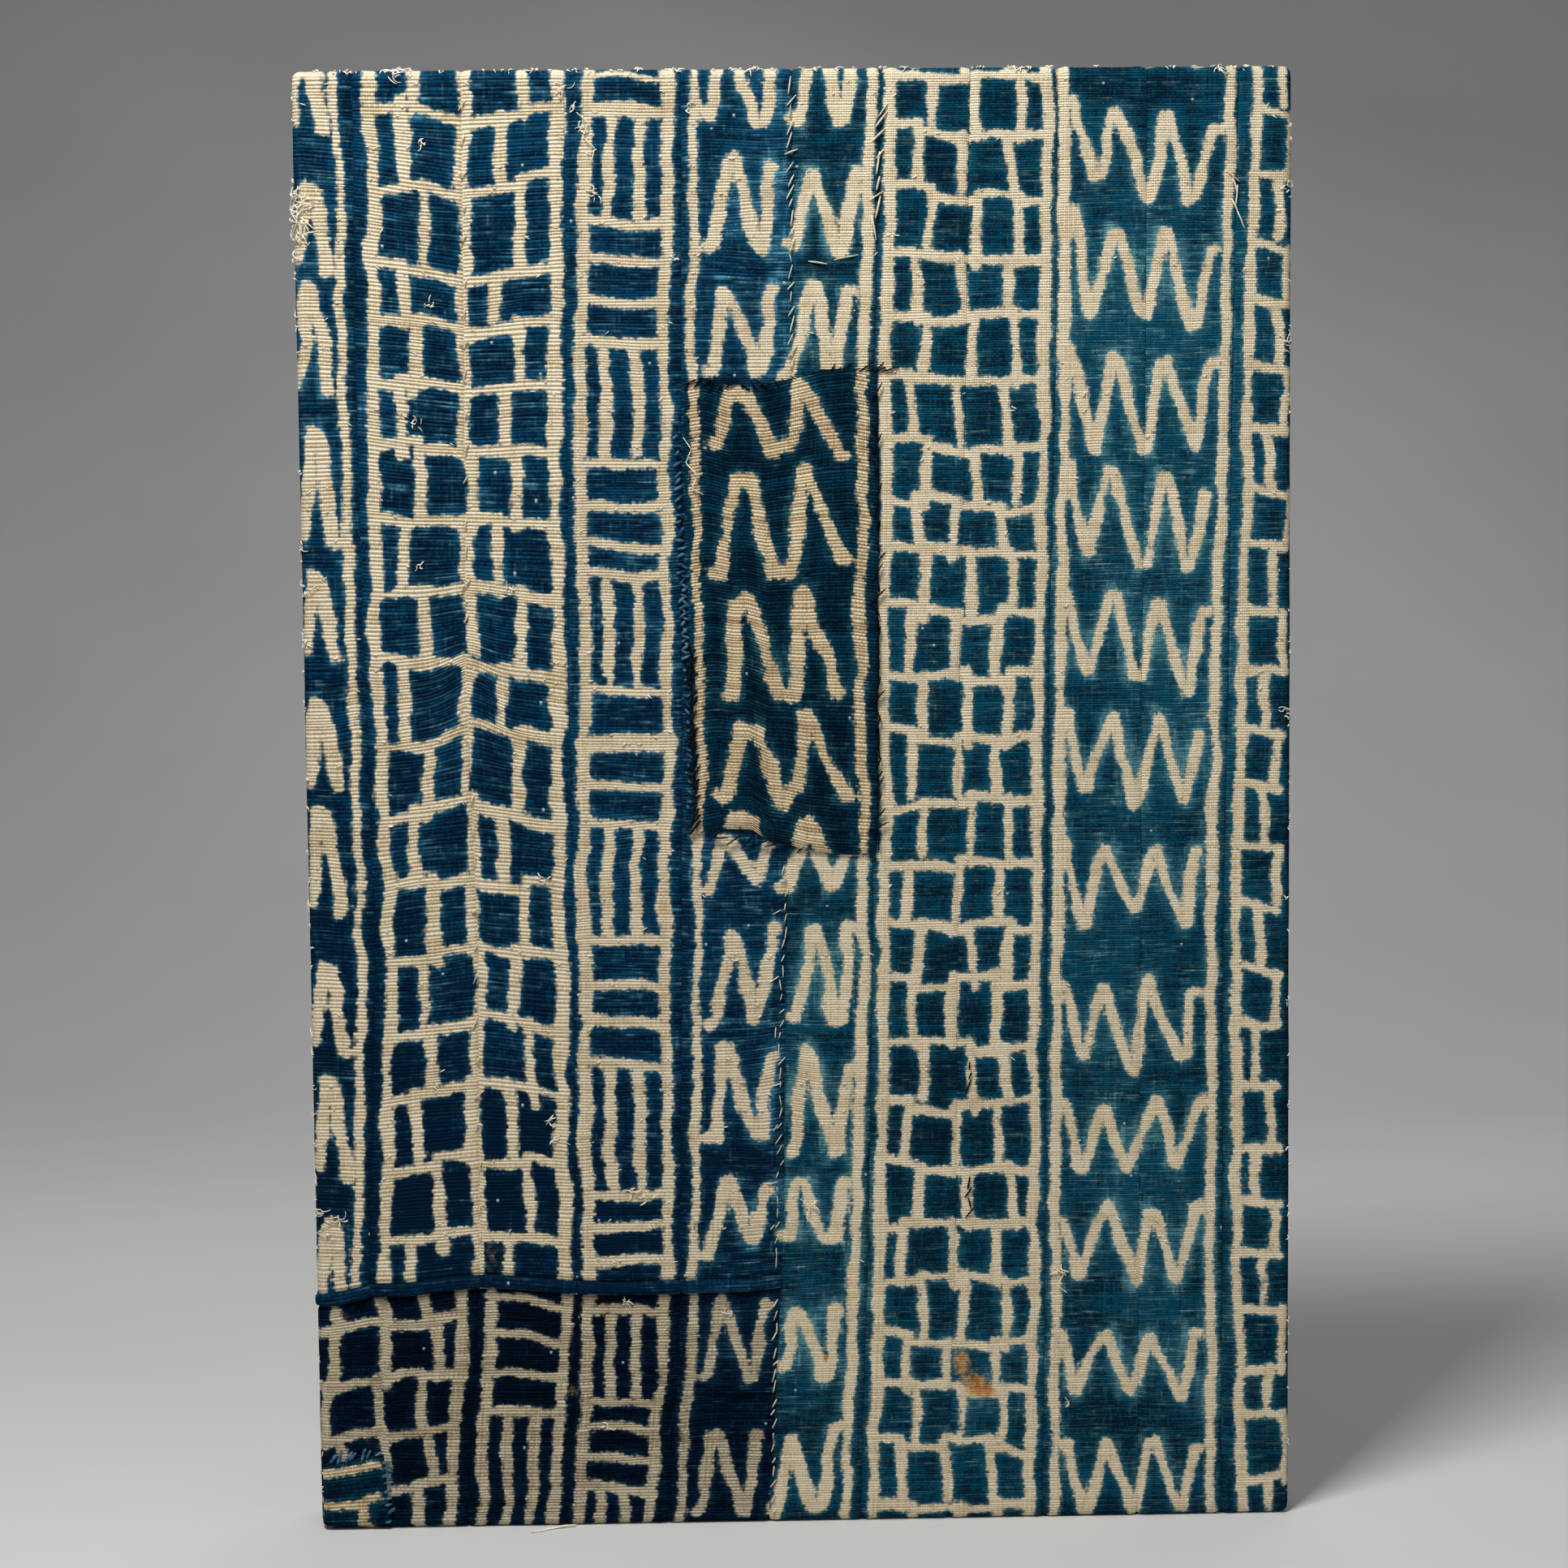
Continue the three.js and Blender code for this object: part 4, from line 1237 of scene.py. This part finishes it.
def tuft_threads(rng):
    """Broken thread ends that curl up out of the cloth and back to it, and hairs at the edges."""
    threads = []
    rim = [(rng.uniform(4, WIDE - 4), 0, rng.uniform(2.0, 4.0), 2) for _ in range(RIM_HAIRS[0])]
    for u, hairs in ((0, RIM_HAIRS[1]), (WIDE, RIM_HAIRS[2])):
        rim += [(u, rng.uniform(4, HIGH - 20), rng.uniform(2.0, 4.4), 2) for _ in range(hairs)]
    for u, v, reach, count in (*TUFTS, *rim):
        for _ in range(count):
            angle, long = rng.uniform(0, 2 * math.pi), reach * rng.uniform(0.35, 1.0)
            base_u, base_v = u + rng.normal(0, reach * 0.22), v + rng.normal(0, reach * 0.22)
            rise, bend = rng.uniform(0.5, max(0.9, 0.22 * reach)), rng.normal(0, 0.9)
            points = []
            for t in np.linspace(0, 1, 7):
                a = angle + bend * t
                pu, pv = base_u + math.cos(a) * long * t, base_v + math.sin(a) * long * t
                proud = rise * math.sin(math.pi * min(1, t * 0.85 + 0.05))
                points.append(surface_point(pu, pv, proud)[0])
            threads.append((points, rng.uniform(0.16, 0.42)))
    return threads


def nep_threads(rng, count):
    """Small curls of slubby thread standing on the undyed marks."""
    u, v = rng.uniform(2, 506, count), rng.uniform(4, 748, count)
    keep = (rng.random(count) < np.where(u < 250, 1.0, 0.45)) & (v < roll_v(u) - 8)
    keep &= (main_marks().distance(u, v) < 0.4) & ~((u > 192) & (u < 300) & (v > 150) & (v < 404))
    threads = []
    for u, v in zip(u[keep], v[keep]):
        long, angle = rng.uniform(1.0, 3.2), rng.normal(0, 0.5)
        points = [surface_point(u + math.cos(angle) * long * t, v + math.sin(angle) * long * t,
                                0.1 + 0.5 * math.sin(math.pi * t))[0] for t in np.linspace(0, 1, 5)]
        threads.append((points, rng.uniform(0.18, 0.36)))
    return threads


def strip_names(first, last, prefix="strip"):
    return [f"{prefix}_{n:02d}" for n in range(first, last + 1)]


BARS = ("bar_bottom", "bar_top", "bar_left", "bar_right")
ALL_STRIPS = strip_names(1, len(SEAMS) + 1)


def declare_cloth(piece, node, held_by, flat):
    """Parent this piece to the body and hide the node that it stands in for; its cut flat size is
    not used.
    """
    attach(piece, BODY)
    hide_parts(node)
    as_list(held_by)


def strip_flat(name):
    """Cut size of a strip before it was stretched: its width and its length with turned margins."""
    number, left, right, top, foot, lower, rolled = strip_edges(name)
    turned = BACK_START + BACK_MARGIN - EDGE_RADIUS
    middle = (float(left(300.0)) + float(right(300.0))) / 2
    wide = float(np.mean([right(v) - left(v) for v in (float(top(middle)), float(foot(middle)))]))
    long = float(foot(middle) - top(middle))
    if number in (1, len(SEAMS) + 1):
        wide += turned
    long += turned * (1 if rolled else 2)
    return wide * MM, long * MM


def make_strips(names, weave, slot, strokes):
    material = bpy.data.materials.get("Dyed " + slot) or dyed_material(slot)
    for name in names:
        piece = strip_mesh(name, WEAVES[weave], strokes, material)
        held = ["bar_top"] if not name.startswith("lower") else ["bar_bottom"]
        if name in ALL_STRIPS[MENDED_STRIPS:]:
            held.append("bar_bottom")
        if name.endswith("_01"):
            held.append("bar_left")
        if name.endswith("_11"):
            held.append("bar_right")
        declare_cloth(piece, name, held, strip_flat(name))


class NdopClothSettings(bpy.types.PropertyGroup):
    rib_scale: bpy.props.FloatProperty(
        name="Rib height", description="How high the weft ribs stand",
        default=1.0, min=0, max=2, subtype="FACTOR")
    fold_scale: bpy.props.FloatProperty(
        name="Fold depth", description="How deep the soft folds and pulls are",
        default=1.0, min=0, max=2, subtype="FACTOR")


class NdopStageSettings(bpy.types.PropertyGroup):
    key_power: bpy.props.FloatProperty(
        name="Key light", description="Power of the large soft light at upper left",
        default=25.5, min=0, unit="POWER")
    fill_power: bpy.props.FloatProperty(
        name="Fill light", description="Power of the soft light from the right",
        default=5.5, min=0, unit="POWER")
    back_power: bpy.props.FloatProperty(
        name="Back light", description="Power of the soft light behind the panel",
        default=12.0, min=0, unit="POWER")
    floor_size: bpy.props.FloatProperty(
        name="Floor width", description="Width of the plain floor and backdrop",
        default=9.0, min=2, unit="LENGTH")


class BuildStep:
    """What every building step shares: it can be undone, and it says when it is done."""
    bl_options = {"REGISTER", "UNDO"}

    def execute(self, context):
        self.build(context)
        return {"FINISHED"}


class NDOP_OT_coarse_strips(BuildStep, bpy.types.Operator):
    """Weave strips 1 to 5, coarse handspun cloth with deep dye"""
    bl_idname = "ndop.coarse_strips"
    bl_label = "Coarse Strips"

    def build(self, context):
        strokes = main_marks()
        make_strips(ALL_STRIPS[:3], "coarse", "cloth_coarse", strokes)
        make_strips(ALL_STRIPS[3:MENDED_STRIPS], "middle", "cloth_coarse", strokes)


class NDOP_OT_fine_strips(BuildStep, bpy.types.Operator):
    """Weave strips 6 to 11, finer faded cloth that runs the whole height"""
    bl_idname = "ndop.fine_strips"
    bl_label = "Fine Strips"

    def build(self, context):
        make_strips(ALL_STRIPS[MENDED_STRIPS:], "fine", "cloth_fine", main_marks())


class NDOP_OT_lower_strips(BuildStep, bpy.types.Operator):
    """Weave the five short strips let in below the rolled seam"""
    bl_idname = "ndop.lower_strips"
    bl_label = "Lower Strips"

    def build(self, context):
        names = strip_names(1, MENDED_STRIPS, "lower_strip")
        make_strips(names, "mended", "cloth_mended", lower_marks())


class NDOP_OT_patches(BuildStep, bpy.types.Operator):
    """Sew on the long dark patch and the corner patch"""
    bl_idname = "ndop.patches"
    bl_label = "Patches"

    def build(self, context):
        material = bpy.data.materials.get("Dyed cloth_patch") or dyed_material("cloth_patch")
        pieces = (
            ("patch_long", (PATCH_TOP, PATCH_FOOT, PATCH_LEFT, PATCH_RIGHT), patch_marks(), 51,
             PATCH_LONG_FLAT, ["cloth_strip_04", "cloth_strip_05", "cloth_strip_06"]),
            ("patch_corner", (CORNER_TOP, CORNER_FOOT, CORNER_LEFT, CORNER_RIGHT), corner_marks(),
             53, PATCH_CORNER_FLAT, ["cloth_lower_strip_01", "cloth_lower_strip_02"]),
        )
        for name, edges, strokes, seed, size, under in pieces:
            piece = patch_mesh("cloth_" + name, edges, WEAVES["patch"], strokes, material, seed)
            declare_cloth(piece, name, under, (size[0] * MM, size[1] * MM))


class NDOP_OT_sewing(BuildStep, bpy.types.Operator):
    """Sew the visible stitches: cream at the seams, blue and dark round the patches; the dark run
    down the long patch's right edge is also a painted shadow line
    """
    bl_idname = "ndop.sewing"
    bl_label = "Sewing Stitches"

    def build(self, context):
        threads = (
            ("stitches_cream", CREAM_RUNS, (236, 226, 204), (206, 192, 164), "cloth_coarse", 61),
            ("stitches_blue", BLUE_RUNS, (88, 128, 152), (24, 62, 92), "cloth_mended", 62),
            ("stitches_dark", DARK_RUNS_AND_SHADOW_LINE, (22, 26, 34), (8, 10, 16), "cloth_patch", 63),
        )
        for name, runs, light, dark, slot, seed in threads:
            material = plain_material("Thread " + name, light, dark, FIBRE_SCALE, 0.95, 0.0001)
            sewn_stitches(name, runs, material, seed)


class NDOP_OT_loose_threads(BuildStep, bpy.types.Operator):
    """Raise the frayed tufts, slubs and single loose threads"""
    bl_idname = "ndop.loose_threads"
    bl_label = "Loose Threads"

    def build(self, context):
        rng = np.random.default_rng(71)
        material = plain_material("Loose thread", (252, 246, 230), (232, 220, 196),
                                  FIBRE_SCALE, 0.95, 0)
        threads = tuft_threads(rng) + nep_threads(rng, NEP_TRIES)
        for radius, proud, spots in LOOSE_THREADS:
            fine = along(spots, np.linspace(0, 1, 22))
            threads.append(([surface_point(u, v, proud)[0] for u, v in fine], radius))
        threads.append(([(u - WIDE / 2, y, z) for u, y, z in FOOT_THREAD], FOOT_THREAD_RADIUS))
        thread_object("loose_threads", threads, material)


class NDOP_OT_frame_bars(BuildStep, bpy.types.Operator):
    """Give the stretcher's four bars their bare softwood"""
    bl_idname = "ndop.frame_bars"
    bl_label = "Frame Bars"

    def build(self, context):
        wood = wood_material()
        for name in BARS:
            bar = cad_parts[name]
            if not bar.material_slots:
                bar.data.materials.append(wood)
            for place in bar.material_slots:
                place.material = wood


# Soft square lamps in metres: name, place and width; each one's power is a stage setting
LAMPS = (("key", (-0.38, -0.68, 1.72), 0.45), ("fill", (1.3, -1.7, 1.0), 1.4),
         ("back", (0.5, 1.5, 2.3), 1.8))
LAMP_AIM = (0, 0, 0.38)
ROOM_COLOUR = (0.75, 0.77, 0.8, 1)
ROOM_STRENGTH = 0.12
# The backdrop in metres: how far behind the panel, the radius of its sweep and its height
BACKDROP_AWAY = 2.9
SWEEP_RADIUS = 1.8
BACKDROP_HIGH = 3.8
# The camera: lens in millimetres, place in metres, direction, and roll in degrees
CAMERA_LENS = 65.2
CAMERA_PLACE = (-0.0417, -1.4772, 0.4898)
CAMERA_LOOKS = (0.0228, 0.9973, -0.0694)
CAMERA_ROLL = -0.57


class NDOP_OT_stage(BuildStep, bpy.types.Operator):
    """Lay the plain pale floor and backdrop, and set the soft lights and the camera"""
    bl_idname = "ndop.stage"
    bl_label = "Floor, Lights and Camera"

    def build(self, context):
        scene = context.scene
        self.backdrop(scene.ndop_stage.floor_size)
        for name, place, size in LAMPS:
            self.light(name + "_light", place, size, getattr(scene.ndop_stage, name + "_power"))
        world = bpy.data.worlds.new("Soft room")
        world.use_nodes = True
        room = world.node_tree.nodes["Background"].inputs
        room["Color"].default_value = ROOM_COLOUR
        room["Strength"].default_value = ROOM_STRENGTH
        scene.world = world
        self.camera(scene)
        scene.view_settings.view_transform = "Standard"

    def backdrop(self, size):
        """A floor that sweeps up behind the panel."""
        half, flat_end = size / 2, BACKDROP_AWAY - SWEEP_RADIUS
        profile = [(-half, 0.0), (flat_end, 0.0)]
        profile += [(flat_end + SWEEP_RADIUS * math.sin(a), SWEEP_RADIUS * (1 - math.cos(a)))
                    for a in np.linspace(0, math.pi / 2, 16)[1:]]
        profile.append((BACKDROP_AWAY, BACKDROP_HIGH))
        places = [(x, y, z) for y, z in profile for x in (-half, half)]
        faces = [(2 * k, 2 * k + 1, 2 * k + 3, 2 * k + 2) for k in range(len(profile) - 1)]
        mesh = bpy.data.meshes.new("floor")
        mesh.from_pydata(places, [], faces)
        mesh.polygons.foreach_set("use_smooth", [True] * len(faces))
        mesh.materials.append(plain_material("Pale paper", (214, 214, 212), (208, 208, 207),
                                             (2, 2, 2), 0.95, 0))
        floor = bpy.data.objects.new("floor", mesh)
        bpy.context.scene.collection.objects.link(floor)

    def light(self, name, place, size, power):
        data = bpy.data.lights.new(name, "AREA")
        data.size, data.energy = size, power
        lamp = bpy.data.objects.new(name, data)
        lamp.location = place
        aim = Vector(LAMP_AIM) - Vector(place)
        lamp.rotation_euler = aim.to_track_quat("-Z", "Y").to_euler()
        bpy.context.scene.collection.objects.link(lamp)

    def camera(self, scene):
        data = bpy.data.cameras.new("camera")
        data.lens, data.sensor_width = CAMERA_LENS, 36.0
        data.clip_start, data.clip_end = 0.05, 30.0
        camera = bpy.data.objects.new("camera", data)
        forward = Vector(CAMERA_LOOKS).normalized()
        level = Vector((forward.y, -forward.x, 0)).normalized()
        upright = level.cross(forward)
        roll = math.radians(CAMERA_ROLL)
        right = level * math.cos(roll) + upright * math.sin(roll)
        up = upright * math.cos(roll) - level * math.sin(roll)
        turn = Matrix((right, up, -forward)).transposed()
        camera.matrix_world = Matrix.Translation(CAMERA_PLACE) @ turn.to_4x4()
        scene.collection.objects.link(camera)
        scene.camera = camera


class NDOP_PT_panel(bpy.types.Panel):
    """Build the cloth piece by piece"""
    bl_idname = "NDOP_PT_panel"
    bl_label = "Ndop Cloth Panel"
    bl_space_type = "VIEW_3D"
    bl_region_type = "UI"
    bl_category = "Ndop Cloth"

    def draw(self, context):
        for step in STEPS:
            self.layout.operator(step.bl_idname)
        for settings in (context.scene.ndop_stage, context.scene.ndop_cloth):
            for name in settings.__annotations__:
                self.layout.prop(settings, name)


STEPS = (NDOP_OT_coarse_strips, NDOP_OT_fine_strips, NDOP_OT_lower_strips, NDOP_OT_patches,
         NDOP_OT_sewing, NDOP_OT_loose_threads, NDOP_OT_frame_bars, NDOP_OT_stage)
CLASSES = (NdopClothSettings, NdopStageSettings, *STEPS, NDOP_PT_panel)


def register():
    for made in CLASSES:
        bpy.utils.register_class(made)
    bpy.types.Scene.ndop_cloth = bpy.props.PointerProperty(type=NdopClothSettings)
    bpy.types.Scene.ndop_stage = bpy.props.PointerProperty(type=NdopStageSettings)


def unregister():
    del bpy.types.Scene.ndop_stage
    del bpy.types.Scene.ndop_cloth
    for made in reversed(CLASSES):
        bpy.utils.unregister_class(made)


def main():
    register()
    bpy.ops.ndop.coarse_strips()
    bpy.ops.ndop.fine_strips()
    bpy.ops.ndop.lower_strips()
    bpy.ops.ndop.patches()
    bpy.ops.ndop.sewing()
    bpy.ops.ndop.loose_threads()
    bpy.ops.ndop.frame_bars()
    bpy.ops.ndop.stage()


if __name__ == "__main__":
    main()
